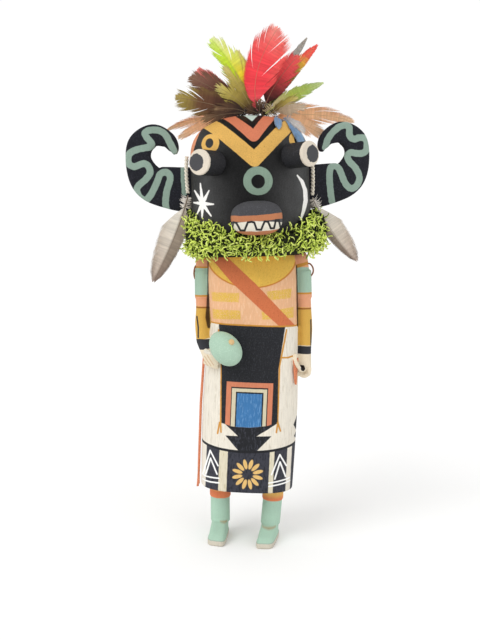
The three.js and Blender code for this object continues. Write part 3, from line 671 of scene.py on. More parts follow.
class Paint(Finish):
    """Paint on one kind of surface: a ground colour with marks laid over it one after another."""

    def __init__(self, name: str, ground: int, surface: Depth, sway: float = 0.3) -> None:
        """Starts the paint.

        Args:
            name: the material's name.
            ground: the colour under all marks.
            surface: y for an x and a z, for marks that are placed as seen from the front.
            sway: how unsteady the edges are, in millimetres.
        """
        super().__init__(name)
        self.surface = surface
        self.spot, self.back = self.group(Effect.HAND, Place=self.place, Sway=sway)
        self.colour: object = linear(ground)

    def at(self, px: float, py: float) -> Triple:
        """Returns the spot's x and z on this surface."""
        x, z = SIGHT.meet(px, py, self.surface)
        return x, z, 0.0

    def mark(self, effect: Effect, **inputs: object) -> Socket:
        """Places a mark's group on this surface."""
        return self.group(effect, Spot=self.spot, **inputs)[0]

    def stroke(self, points: Sequence[Point], *widths_px: float) -> Socket:
        """Distance to a stroke through spots, of one width or with a width at each spot."""
        spots = [self.at(*p) for p in points]
        halves = [
            w * SIGHT.mm_per_px / 2 for w in (widths_px if len(widths_px) > 1 else widths_px * len(points))
        ]
        runs = zip(spots, spots[1:], halves, halves[1:])
        return self.join(
            *(self.mark(Effect.STROKE, From=a, To=b, Half=c, Swell=d - c) for a, b, c, d in runs)
        )

    def shape(self, points: Sequence[Point]) -> Socket:
        """Distance to a convex outline whose corners are given clockwise as seen."""
        spots = [self.at(*p) for p in points]
        return self.within(
            *(self.mark(Effect.EDGE, From=b, To=a) for a, b in zip(spots, spots[1:] + spots[:1]))
        )

    def flower(self, px: float, py: float, petals: int, inner: float, outer: float, width: float) -> Socket:
        """Distance to a ring of petals, sizes in pixels; none points straight up."""
        sector = math.tau / petals
        spot = self.mark(Effect.TURN, Centre=self.at(px, py), Sector=sector, Start=sector / 2)
        mm = SIGHT.mm_per_px
        radii = ((outer - inner) / 2 * mm, width * mm / 2, 1.0)
        return self.group(
            Effect.OVAL, Spot=spot, Centre=((inner + outer) / 2 * mm, 0.0, 0.0), Radii=radii,
        )[0]

    def drawn(self, name: str) -> Socket:
        """Distance to a line that the piece's mesh carries as an attribute, a little unsteady."""
        sway = self.swing(self.noise(self.mm(self.place), 0.5, 3.0), 0.7)
        return self.plus(self.add("Attribute", attribute_name=name).outputs["Fac"], sway)

    def oval(self, px: float, py: float, rx: float, ry: float) -> Socket:
        """Distance to an oval with its middle and its radii in pixels."""
        return self.mark(
            Effect.OVAL, Centre=self.at(px, py), Radii=(rx * SIGHT.mm_per_px, ry * SIGHT.mm_per_px, 1.0),
        )

    def block(self, left: float, top: float, right: float, bottom: float) -> Socket:
        """Distance to an upright block between four sides in pixels."""
        a, b = self.at(left, top), self.at(right, bottom)
        centre = ((a[0] + b[0]) / 2, (a[1] + b[1]) / 2, 0.0)
        halves = (abs(b[0] - a[0]) / 2, abs(a[1] - b[1]) / 2, 1.0)
        return self.mark(Effect.BLOCK, Centre=centre, Halves=halves)

    def level(self, low: float, high: float) -> Socket:
        """Distance to a band right round between two heights in millimetres."""
        return self.mark(
            Effect.BLOCK, Centre=(AXIS.x, (low + high) / 2, 0.0), Halves=(500.0, (high - low) / 2, 1.0),
        )

    def join(self, *marks: Socket) -> Socket:
        """Distance to several marks together."""
        return self.merge("MINIMUM", marks)

    def within(self, *marks: Socket) -> Socket:
        """Distance to what several marks have in common."""
        return self.merge("MAXIMUM", marks)

    def outside(self, mark: Socket) -> Socket:
        """Distance to all that a mark leaves out."""
        return self.times(mark, -1.0)

    def grown(self, mark: Socket, by: float) -> Socket:
        """Distance to a mark made wider by millimetres."""
        return self.minus(mark, by)

    def front(self, y: float) -> Socket:
        """Distance to all that lies before a depth in millimetres."""
        return self.minus(self.back, y)

    def lay(self, mark: Socket, colour: object, soft: float = 0.22, strength: float = 1.0) -> None:
        """Lays a colour over the paint so far, inside a mark."""
        share = self.math("SUBTRACT", 0.5, self.math("DIVIDE", mark, soft), True)
        if strength != 1.0:
            share = self.times(share, strength)
        self.colour = self.mix(share, self.colour, colour)

    def speckle(self, mark: Socket, colour: int, scale: float, cover: float, long: float = 1.0) -> None:
        """Lays a dry, broken colour inside a mark.

        Args:
            mark: where.
            colour: the dry colour.
            scale: how fine the flecks are.
            cover: the share that they cover.
            long: how many times as tall as wide they are.
        """
        mm = self.mm(self.place)
        if long != 1.0:
            mm = self.add("Mapping", {0: mm, 3: (1.0, 1.0, 1.0 / long)}).outputs[0]
        broken = self.times(self.minus(1.0 - cover, self.noise(mm, scale, 3.0, 0.65)), 4.0)
        self.lay(self.within(mark, broken), colour, 0.5)

    def sag(self, middle: float, low: float, curve: float, tilt: float) -> Socket:
        """Height over a line that hangs in an arc, from its lowest place, curve and tilt, in millimetres."""
        part = self.split(self.spot)
        off = self.minus(part[0], middle)
        arc = self.times(self.times(off, off), curve)
        return self.minus(part[1], self.plus(self.plus(arc, self.times(off, tilt)), low))

    def finish(
        self, cloud: float, fibre: float, pore: float, rough: float, relief: float, gloss: float = 0.3,
    ) -> Material:
        """Ends the material with the film's tone and relief.

        Args:
            cloud: share of slow tone variation.
            fibre: share of fine upright grain.
            pore: share of fine speckle.
            rough: how much rougher than the film's own the surface is.
            relief: the bump's height in millimetres.
            gloss: the shader's own specular level.

        Returns:
            The material.
        """
        film = self.group(
            Effect.FILM, Colour=self.colour, Place=self.place, Cloud=cloud, Fibre=fibre, Pore=pore,
        )
        return self.shade({
            "Base Color": film["Colour"],
            "Roughness": self.math("ADD", film["Roughness"], rough, True),
            "Normal": self.bump(film["Height"], relief),
            "Specular IOR Level": gloss,
        })


@dataclass(frozen=True)
class Level:
    """One level of the carved body: its height and its half width and half depth."""

    z: float
    half_width: float
    half_depth: float


@dataclass(frozen=True)
class HeadForm:
    """The head's turned outline, in its own frame with the neck at nought."""

    radius: float = HEAD_RADIUS
    height: float = HEAD_HEIGHT
    taper: float = 0.9
    crown: float = 22.2
    power: float = 2.4
    jaw_z: float = 2
    jaw: float = 8
    jaw_inset: float = 6

    def at(self, z: float) -> float:
        """Returns the radius at a height."""
        edge = self.height - self.crown
        if z < self.jaw_z + self.jaw:
            u = clamp((self.jaw_z + self.jaw - z) / self.jaw)
            return self.radius - self.jaw_inset * (1 - math.sqrt(1 - u * u))
        straight = self.radius - self.taper * min(z, edge) / edge
        u = clamp((z - edge) / self.crown)
        return straight * (1 - u**self.power) ** (1 / self.power)

    def top(self, distance: float) -> float:
        """Returns the crown's height at a distance from the axis."""
        low, high = self.height - self.crown, self.height
        for _ in range(40):
            middle = (low + high) / 2
            low, high = (middle, high) if self.at(middle) > distance else (low, middle)
        return low

    def round(self, azimuth: float, distance: float, z: float) -> Vector:
        """A place round the head's axis; azimuth 0 is the front and 90 the doll's left."""
        a = math.radians(azimuth)
        return Vector((distance * math.sin(a), -distance * math.cos(a), z))


HEAD = HeadForm()


@dataclass(frozen=True)
class BodyForm:
    """Kilt and chest, squarish and a little leaning."""

    power: float = 2.7
    lean: float = -2.4
    slope: float = 0.05
    waist: float = 122.5
    shoulder: float = 159
    kilt: tuple[Level, ...] = (
        Level(31.4, 25.8, 20.0),
        Level(53.4, 26.3, 20.5),
        Level(76.95, 26.6, 20.5),
        Level(104.5, 25.75, 19.9),
        Level(122.5, 24.9, 18.8),
    )
    chest: tuple[Level, ...] = (
        Level(123.1, 24.3, 18.2),
        Level(136.5, 24.4, 18.2),
        Level(147, 24.7, 18.2),
        Level(154, 24.4, 17.6),
        Level(158, 24.2, 17.2),
        Level(161, 23.6, 16.4),
        Level(164, 21.6, 14.6),
        Level(166, 15, 11),
    )

    def lean_at(self, z: float) -> float:
        """Returns the chest's middle x at a height."""
        return AXIS.x + self.lean * clamp((z - self.waist) / (self.shoulder - self.waist), 1.1)

    def size_at(self, z: float) -> Point:
        """Returns the half width and half depth at a height."""
        levels = self.kilt + self.chest
        if z <= levels[0].z:
            return levels[0].half_width, levels[0].half_depth
        for a, b in zip(levels, levels[1:]):
            if z <= b.z:
                t = (z - a.z) / (b.z - a.z)
                return lerp(a.half_width, b.half_width, t), lerp(a.half_depth, b.half_depth, t)
        return levels[-1].half_width, levels[-1].half_depth

    def front(self, x: float, z: float) -> float:
        """Returns the front surface's y for an x and a z."""
        half_width, half_depth = self.size_at(z)
        u = min(0.97, abs(x - self.lean_at(z)) / half_width)
        return AXIS.y - half_depth * (1 - u**self.power) ** (1 / self.power)

    def beside(self, azimuth: float, z: float, lift: float) -> Vector:
        """A place on the body's side, `lift` out of it; azimuth 0 is the front and 90 the doll's left."""
        half_width, half_depth = self.size_at(z)
        c, s = math.cos(math.radians(azimuth - 90)), math.sin(math.radians(azimuth - 90))
        x = squared(c, 2 / self.power) * (half_width + lift)
        y = squared(s, 2 / self.power) * (half_depth + lift)
        return Vector((self.lean_at(z) + x, AXIS.y + y, z))


BODY = BodyForm()


class Surfaces:
    """The front surfaces that the photograph's spots are laid on."""

    @staticmethod
    def mask(x: float, z: float) -> float:
        """The mask's front."""
        h = z - NECK.z
        across = x - (NECK.x + h * math.tan(HEAD_TILT))
        r = HEAD.at(max(12.0, h))
        return NECK.y - math.sqrt(max(9.0, r * r - across * across))

    @staticmethod
    def horn(x: float, _z: float) -> float:
        """The horns' front face, a little turned with the head."""
        return NECK.y + 1.5 + (x - NECK.x) * math.tan(HEAD_YAW)

    @staticmethod
    def flat(y: float) -> Depth:
        """A plane at a depth."""
        return lambda _x, _z: y


class Side(Enum):
    """The doll's own right and left."""

    RIGHT = -1
    LEFT = 1

    @property
    def word(self) -> str:
        """The side's name as the pieces use it."""
        return self.name.lower()


class Region(IntEnum):
    """The figure's regions in the order of their paints."""

    MASK = 0
    TORSO = 1
    KILT = 2
    ARM = 3
    BOOT = 4
    BORDER = 5


@dataclass
class Figure:
    """Head, torso, arms, kilt, legs and boots, carved from one piece of wood and painted."""

    sides: int = 96
    spread: tuple[float, float] = (-14.2, 14.4)
    toe_shear: tuple[float, float] = (0.1, 0.2)
    toe_slant: tuple[float, float] = (-0.26, 0.04)
    advance: tuple[float, float] = (0, -1.6)
    arm_radius: float = 4.4
    wrist_radius: float = 3.8
    finger_radius: float = 1.35
    voxel: float = 0.74
    hem: float = 31.2
    hands_low: float = 92
    belt: float = 123.3
    collar: float = 163.4
    thumb: tuple[Triple, ...] = (
        (295.8, 355.6, 13.2), (294.9, 359, 14.6), (297.2, 365, 13.8), (301.6, 370.6, 11.6),
        (304.6, 368.8, 11),
    )

    def body(self) -> Object:
        """Kilt and chest in one."""
        rings = []
        levels = BODY.kilt + BODY.chest
        for a, b in zip(levels, levels[1:]):
            steps = max(1, round((b.z - a.z) / 3))
            rings += [self.body_ring(lerp(a.z, b.z, i / steps)) for i in range(steps)]
        rings.append(self.body_ring(levels[-1].z))
        return Carver.loft("body", rings)

    def body_ring(self, z: float) -> Ring:
        """One level of the body."""
        half_width, half_depth = BODY.size_at(z)
        rise = clamp((z - BODY.waist) / (BODY.shoulder - BODY.waist))
        middle = Vector((BODY.lean_at(z), AXIS.y, z))
        ring = Carver.superellipse(middle, (half_width, half_depth), BODY.power, self.sides)
        return [p + Vector((0, 0, BODY.slope * rise * (p.x - middle.x))) for p in ring]

    def head(self) -> Object:
        """The turned head."""
        heights = [HEAD.jaw_z + HEAD.jaw * (1 - math.cos(math.pi / 2 * i / 6)) for i in range(7)]
        heights += [lerp(10, 54, i / 12) for i in range(1, 13)]
        heights += [54 + HEAD.crown * math.sin(math.pi / 2 * i / 18) for i in range(1, 18)] + [76.19]
        angles = [-360 * i / self.sides for i in range(self.sides)]
        rings = [[TO_WORLD @ HEAD.round(a, HEAD.at(z), z) for a in angles] for z in heights]
        return Carver.loft("head", rings)

    def leg(self, side: Side) -> list[Object]:
        """One boot with its shaft."""
        k = 0 if side is Side.RIGHT else 1
        x, heel = AXIS.x + self.spread[k], AXIS.y + 8.6 + self.advance[k]
        shaft_y = heel - 6.5
        rings = []
        for z, inset, length, power in (
            (0, 0, 26, 5), (1.5, 0, 26, 5), (3, 0, 26, 5), (3.2, 0.4, 25.2, 5), (5, 0.5, 22.4, 4.5),
            (6.4, 0.5, 19.2, 4), (7.8, 0.55, 16, 3.5), (9.2, 0.6, 13, 3),
        ):
            y = heel - length / 2 - inset
            ring = Carver.superellipse(Vector(), (5.1 - inset, length / 2), power, 48)
            shear, slant = self.toe_shear[k], self.toe_slant[k]
            level = []
            for p in ring:
                toe = slant * p.x if p.y < 0 else 0
                level.append(Vector((x + shear * (y - shaft_y) + p.x + shear * p.y, y + p.y + toe, z)))
            rings.append(level)
        foot = Carver.loft("foot", rings)
        rings = []
        for z, radius, deep, out in (
            (8.4, 5.5, 5.9, 1), (23, 5.5, 5.9, 1.05), (23.3, 6, 6.5, 1.05), (33.4, 6, 6.5, 1.06),
        ):
            middle = Vector((AXIS.x + self.spread[k] * out, shaft_y, z))
            rings.append(Carver.superellipse(middle, (radius, deep), 2, 48))
        return [foot, Carver.loft("shaft", rings)]

    def arm_line(self, side: Side) -> list[Triple]:
        """Shoulder, upper arm, elbow, forearm and wrist of one arm."""
        sign = side.value
        drop = BODY.slope * 24.4 * sign

        def outer(z: float) -> float:
            return BODY.lean_at(z) + sign * (24.4 + self.arm_radius * 0.72)

        elbow_z = 132 + drop
        bent = side is Side.RIGHT
        elbow = (outer(elbow_z) + (0 if bent else 0.6), AXIS.y - (0.4 if bent else 0.2), elbow_z)
        wrist = (AXIS.x - 27.4, AXIS.y - 8.2, 113.2) if bent else (AXIS.x + 28.9, AXIS.y - 2.4, 109.8)
        middle = (
            (elbow[0] + wrist[0]) / 2 + sign * 0.5, lerp(elbow[1], wrist[1], 0.42),
            (elbow[2] + wrist[2]) / 2,
        )
        shoulder = (outer(159) - sign * 1.4, AXIS.y, 159 + drop)
        return [shoulder, (outer(147), AXIS.y, 147 + drop), elbow, middle, wrist]

    def arm(self, side: Side) -> list[Object]:
        """One arm with its armband and hand."""
        line = self.arm_line(side)
        r = self.arm_radius
        sleeve = Carver.limb(
            "sleeve", list(zip(line, (r + 0.3, r, r - 0.1, r - 0.2, self.wrist_radius))), 32, 8,
        )
        top = Vector(line[1]) + Vector((0, 0, 5.5))
        elbow = Vector(line[2])
        bottom = top.lerp(elbow, 15.5 / (top.z - elbow.z))
        along = top - bottom
        shares = ((0, 0.1), (0.02, 0.4), (0.05, 0.45), (0.95, 0.45), (0.98, 0.4), (1, 0.1))
        band = Carver.loft(
            "band", [Carver.across(bottom + along * t, along, r + proud, 32) for t, proud in shares],
        )
        return [sleeve, band, *self.hand(side, line[-1])]

    def palm(self, side: Side) -> Triple:
        """The middle of a palm."""
        if side is Side.RIGHT:
            return AXIS.x - 22.6, AXIS.y - 15.2, 105.6
        return AXIS.x + 28.6, AXIS.y - 4.4, 101.2

    def thumb_line(self) -> list[Triple]:
        """The left thumb's places, each seen in the photograph at its own depth before the axis."""
        line = []
        for px, py, out in self.thumb:
            x, z = SIGHT.meet(px, py, Surfaces.flat(AXIS.y - out))
            line.append((x, AXIS.y - out, z))
        return line

    def hand(self, side: Side, wrist: Triple) -> list[Object]:
        """A fist with carved fingers and a thumb."""
        right = side is Side.RIGHT
        palm = self.palm(side)
        parts = [Carver.limb("palm", [(wrist, self.wrist_radius), (palm, self.wrist_radius + 0.6)], 24, 6)]
        f = self.finger_radius
        x, y, z = palm
        for i in range(4):
            s = (i - 1.5) * f * 1.62
            if right:
                joints = ((-2.8, 2.7, 0), (0.6, 4.3, -1.1), (3.6, 4, -2.4))
                line = [(x + a, y - b - s * 0.35, z + s + c) for a, b, c in joints]
            else:
                joints = ((3.1, -1.2), (2.8, -4.2), (0.3, -5.7), (-2.4, -4.4))
                line = [(x + a, y - s, z + c) for a, c in joints]
            parts.append(Carver.limb("finger", list(zip(line, (f, f, f * 0.92, f * 0.9))), 14, 4))
        if right:
            thumb = [(-24.4, -14.4, 109.6), (-22.4, -16.6, 110.2), (-20.8, -17.6, 110.2)]
            stations = [((AXIS.x + a, AXIS.y + b, c), f) for a, b, c in thumb]
        else:
            stations = [(at, 1.15) for at in self.thumb_line()]
        return [*parts, Carver.limb("thumb", stations, 14, 5)]

    def build(self) -> Object:
        """Carves the figure in one: the parts are joined and their overlaps fused."""
        parts = [self.body(), self.head()]
        for side in Side:
            parts += self.leg(side) + self.arm(side)
        made = Carver.join("carved_figure", parts)
        Carver.fuse(made, self.voxel, 4)
        # The soles, which the smoothing rounds, are pressed flat again
        for v in made.data.vertices:
            if v.co.z < 0.5 * MM:
                v.co.z = max(0.0, v.co.z * 2 - 0.5 * MM)
        self.dress(made)
        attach(made, "root")
        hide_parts("figure")
        return made

    def dress(self, made: Object) -> None:
        """Gives each region its own paint."""
        made.data.materials.clear()
        kilt = KiltPaint()
        paints = {
            Region.MASK: MaskPaint().make,
            Region.TORSO: TorsoPaint().make,
            Region.KILT: kilt.upper,
            Region.ARM: ArmPaint().make,
            Region.BOOT: BootPaint().make,
            Region.BORDER: kilt.border,
        }
        for region in Region:
            made.data.materials.append(paints[region]())
        reaches = self.arm_reach(Side.RIGHT) + self.arm_reach(Side.LEFT)
        for face in made.data.polygons:
            face.material_index = self.region(face.center / MM, reaches, kilt)

    def arm_reach(self, side: Side) -> list[tuple[Vector, float]]:
        """Places along one arm and how far the arm reaches from each."""
        line = Carver.spline([Vector(p) for p in self.arm_line(side)], 8)
        palm = Vector(self.palm(side))
        reach = [(p, 6.5) for p in line]
        reach += [(line[-1].lerp(palm, i / 4), 5.8) for i in range(1, 5)]
        reach.append((palm + Vector((1, -2.5, -3)), 6.2))
        if side is Side.LEFT:
            reach += [(Vector(p), 2.4) for p in self.thumb_line()]
        return reach

    def region(self, at: Vector, reaches: Sequence[tuple[Vector, float]], kilt: "KiltPaint") -> Region:
        """Returns which paint a face takes.

        Args:
            at: the face's middle in millimetres.
            reaches: places along both arms and how far the arm reaches from each.
            kilt: the kilt's paint, which knows its border's line.

        Returns:
            The region.
        """
        if at.z < self.hem:
            return Region.BOOT
        if at.z > self.collar:
            return Region.MASK
        if at.z > self.hands_low:
            beside = abs(at.x - BODY.lean_at(at.z)) > BODY.size_at(at.z)[0] - 1.2
            proud = at.y < BODY.front(at.x, at.z) - 0.5
            if (beside or proud) and any((at - p).length < reach for p, reach in reaches):
                return Region.ARM
        if at.z > self.belt:
            return Region.TORSO
        return Region.KILT if at.z > kilt.line(at.x) else Region.BORDER


@dataclass(frozen=True)
class MaskPaint:
    """The mask: near black, with chevrons, rings, a star, a crescent and a peach back."""

    black: int = 0x090909
    peach: int = 0xDD9068
    yellow: int = 0xD8A953
    orange: int = 0xC87250
    mint: int = 0xB9CEC4
    green: int = 0x7F9684
    white: int = 0xF6F4F0

    def make(self) -> Material:
        """Paints the mask."""
        p = Paint("mask_paint", self.black, Surfaces.mask, 0.45)
        p.speckle(p.level(160, 250), 0x18181A, 1.6, 0.46)
        chevron = p.stroke([(208, 122.5), (254.5, 159.5), (289, 125)], 13)
        p.lay(chevron, self.yellow)
        p.speckle(p.grown(chevron, -0.3), 0xBB8D42, 2.6, 0.4)
        p.lay(p.stroke([(214, 112), (254, 145), (291, 110)], 6), self.black)
        p.lay(p.stroke([(226, 114.5), (253.6, 135.3), (271, 116), (276, 109)], 11.5), self.orange)
        p.lay(p.shape([(236, 111), (268, 108), (265.5, 115), (253.2, 128.8), (236, 116.5)]), self.black)
        p.lay(
            p.shape([(240.5, 111), (261.5, 110.5), (260.5, 114), (252.2, 121.3), (241.5, 114)]), self.mint,
        )
        emblem = p.join(p.oval(210.2, 143.2, 8.6, 9), p.shape([(205, 146), (216, 146), (213.5, 155.5)]))
        p.lay(p.within(emblem, p.outside(p.oval(209.3, 143, 3.8, 4.6))), self.yellow)
        other = p.within(p.oval(296, 140, 7, 8), p.outside(p.oval(297, 140, 3, 4)))
        p.lay(other, self.yellow)
        p.lay(
            p.within(p.oval(258, 180.8, 13.6, 13.2), p.outside(p.oval(258.2, 181.4, 6.3, 6.3))), self.green,
        )
        p.lay(p.oval(258.2, 181.4, 6.1, 6.1), 0x060607)
        star = [
            p.stroke([(202.4, 203.6), end], 4.2, 1.2)
            for end in (
                (200.3, 183.5), (209, 190.5), (213.6, 204.3), (211, 216), (202, 217.5), (197, 214),
                (193.6, 202.6), (194.6, 190.5),
            )
        ]
        p.lay(p.join(*star), self.white)
        crescent = p.stroke(
            [(297.4, 175.6), (302, 181.2), (305.2, 190), (305.8, 200), (303.8, 210), (300.8, 219.5)], 1.6,
            3.4, 4.8, 4.8, 3.8, 1.4,
        )
        p.lay(crescent, self.white)
        rim = p.stroke([(190, 155), (193.5, 140), (199, 127), (206, 117)], 6.5)
        p.lay(p.within(rim, p.outside(p.front(NECK.y - 23))), self.peach)
        p.lay(p.outside(p.front(NECK.y + 2)), self.peach, 0.5)
        crown = p.oval(256, 108, 36, 10)
        p.lay(p.within(crown, p.outside(p.front(NECK.y - 14))), self.black, 1.0)
        return p.finish(0.12, 0.1, 0.3, -0.04, 0.16, 0.55)


@dataclass(frozen=True)
class TorsoPaint:
    """The chest: peach, with an ochre yoke, a sash across it and dry yellow dashes."""

    peach: int = 0xE2B088
    ochre: int = 0xE4B852
    outline: int = 0xC98238
    sash: int = 0xCB7148
    # Painted shade in the grooves beside the arms
    groove: int = 0x5A3A22

    def make(self) -> Material:
        """Paints the chest."""
        p = Paint("torso_paint", self.peach, BODY.front, 0.35)
        p.speckle(p.level(120, 165), 0xE9BE99, 1.1, 0.42, 5.0)
        front = p.front(AXIS.y + 2)
        yoke = p.within(p.oval(251.5, 252, 46.4, 34.8), front)
        p.lay(yoke, self.outline)
        p.lay(p.grown(yoke, -0.75), self.ochre)
        p.speckle(p.grown(yoke, -0.8), 0xD6A848, 1.1, 0.4)
        for box in (
            [(212, 292.5), (238.5, 293.6), (238.2, 301.6), (213, 300.4)],
            [(213, 309.5), (239.5, 311), (240, 318.8), (213.6, 318)],
            [(267.5, 292), (291, 289), (290, 297.5), (269, 299.6)],
            [(262, 312), (293, 307.5), (293, 317), (263, 319)],
        ):
            p.speckle(p.within(p.grown(p.shape(box), 0.3), front), 0xD9B23E, 3.0, 0.54)
        band = p.shape(
            [
                (203.5, 249), (219, 249), (226.4, 256.2), (256.5, 284.6), (294, 324), (298, 330),
                (283.5, 330), (278, 325.2), (232, 282.9),
            ]
        )
        p.lay(band, self.sash)
        p.speckle(band, 0xBD6640, 1.4, 0.4)
        p.lay(p.level(121.5, 123.9), 0xC58A36)
        p.lay(p.level(160, 200), self.ochre)
        # Painted shade: dark brown lines down both sides of the chest, in the grooves where the arms meet it
        groove_shades = p.join(
            p.stroke([(207, 262), (206.4, 290), (206, 305), (207.6, 326)], 2, 1.4, 3.4, 2.4),
            p.stroke([(296.6, 262), (297.2, 300), (298.4, 326)], 1.8, 1.5, 2),
        )
        p.lay(groove_shades, self.groove, 0.6, 0.85)
        return p.finish(0.08, 0.14, 0.12, 0.16, 0.12)


@dataclass(frozen=True)
class KiltPaint:
    """The white dance kilt with its black apron, stepped border and flower panel."""

    cream: int = 0xE3DCCE
    black: int = 0x242529
    orange: int = 0xCC7E5E
    beige: int = 0xCDC4A8
    blue: int = 0x3C72A6
    ochre: int = 0xC98F3E
    panel: int = 0xD8D0B8
    gold: int = 0xDDB672
    slate: int = 0x3C3D46
    white: int = 0xF3F3F1
    line_x: float = AXIS.x - 1.0
    line_low: float = 54.6
    line_curve: float = 0.0042
    line_tilt: float = 0.016
    line_half: float = 0.72

    def line(self, x: float) -> float:
        """The height of the black line over the border, in millimetres."""
        off = x - self.line_x
        return self.line_low + self.line_curve * off * off + self.line_tilt * off

    def over_line(self, p: Paint) -> Socket:
        """The height over the border's line."""
        return p.sag(self.line_x, self.line_low, self.line_curve, self.line_tilt)

    def upper(self) -> Material:
        """Paints the white cloth, the apron and the hourglass."""
        p = Paint("kilt_paint", self.cream, BODY.front, 0.3)
        p.speckle(p.level(50, 125), 0xD0C7B6, 0.9, 0.4, 7.0)
        hourglass = p.join(
            p.shape([(221, 420), (278, 420), (277, 423.6), (253.8, 438), (239, 437)]),
            p.shape([(225.4, 435.4), (271.5, 436.2), (254.8, 453), (240.4, 453)]),
        )
        hourglass = p.within(hourglass, p.front(AXIS.y))
        p.lay(hourglass, self.black)
        p.speckle(hourglass, self.slate, 1.2, 0.42, 3.0)
        self.apron(p)
        p.lay(p.level(123.1, 126), 0xC58A36)
        for points in ([(293.5, 424.5), (299, 412), (299, 437)], [(294, 436), (299, 428), (299, 444)]):
            p.lay(p.within(p.shape(points), p.front(AXIS.y)), self.black)
        p.lay(p.grown(self.over_line(p), self.line_half), self.black)
        return p.finish(0.05, 0.24, 0.08, 0.12, 0.2)

    def apron(self, p: Paint) -> None:
        """The black apron, its frame and its side cords, each cord with a forked end."""
        front = p.front(AXIS.y)
        for line in (
            [(218.6, 330), (221.4, 365), (220.6, 424)],
            [(219.6, 422.5), (217.6, 433.5)],
            [(220.6, 424), (221, 432)],
            [(286.6, 330), (279.6, 366), (277.6, 424), (276.4, 432.5)],
            [(277.6, 422), (280.4, 431)],
            [(279.6, 357.6), (288, 357.6), (293.5, 355.6)],
        ):
            p.lay(p.within(p.stroke(line, 1.7), front), self.ochre)
        body = p.join(
            p.shape([(218.8, 322), (286, 322), (278.4, 370), (221.6, 370)]),
            p.shape(
                [
                    (221.6, 366), (278.6, 366), (277.4, 422), (268, 425.8), (250, 427.6), (232, 426.4),
                    (221.4, 422.8),
                ]
            ),
        )
        body = p.within(body, front)
        p.lay(body, self.black)
        p.speckle(body, 0x34353A, 2.0, 0.42, 1.8)
        for box, colour in (
            ((226.8, 381.3, 271, 436), self.orange),
            ((231.4, 386.6, 266.2, 436), self.black),
            ((232.2, 388, 265.2, 436), self.beige),
            ((236, 391.6, 261.8, 436), self.black),
            ((237.2, 393.2, 260.4, 436), self.blue),
        ):
            p.lay(p.within(p.block(*box), body), colour)
        p.speckle(p.within(p.block(237.2, 393.2, 260.4, 436), body), 0x5E8DBB, 1.3, 0.42, 5.0)

    def border(self) -> Material:
        """Paints the stepped border with its flower panel, and plainer columns behind."""
        p = Paint("border_paint", self.panel, BODY.front, 0.25)
        p.speckle(p.level(20, 70), 0xC6BB9C, 0.9, 0.4, 6.0)
        front = p.front(AXIS.y + 1)
        cloth = [p.block(left, 430, right, 505) for left, right in ((195, 209), (285, 293.4))]
        p.lay(p.within(p.join(*cloth), front), self.cream)
        sides = ((207.4, 217.4), (275.6, 284.6), (228.8, 267.4), (292.8, 300))
        columns = p.within(p.join(*(p.block(left, 430, right, 505) for left, right in sides)), front)
        p.lay(columns, self.slate)
        p.speckle(columns, 0x2B2C33, 1.1, 0.46, 3.0)
        lines = (
            [(202.8, 474), (210.2, 450.4), (218, 465.6)],
            [(205.8, 474), (210.6, 458.2), (217, 474)],
            [(271.6, 474.6), (279.8, 454.6), (286.4, 465.6)],
            [(274.8, 479), (280, 462), (285.6, 476.4)],
            [(202.6, 474), (218.8, 478.2)],
            [(202.8, 478.8), (218.8, 482.8)],
            [(269, 483), (289.6, 477.4)],
            [(269, 486.4), (289.6, 480.6)],
        )
        p.lay(p.within(p.join(*(p.stroke(line, 1.5) for line in lines)), front), self.white)
        p.lay(p.within(p.flower(247.6, 474.4, 12, 5.4, 15.4, 3.8), front), self.gold)
        self.behind(p)
        p.lay(p.outside(p.grown(self.over_line(p), -self.line_half)), self.black)
        return p.finish(0.05, 0.2, 0.08, 0.12, 0.16)

    def behind(self, p: Paint) -> None:
        """The border goes on round the back in plain columns."""
        back = p.outside(p.front(AXIS.y + 3))
        for x in (-15, 0, 15):
            column = p.mark(Effect.BLOCK, Centre=(AXIS.x + x, 44.0, 0.0), Halves=(4.0, 15.0, 1.0))
            p.lay(p.within(column, back), self.slate)


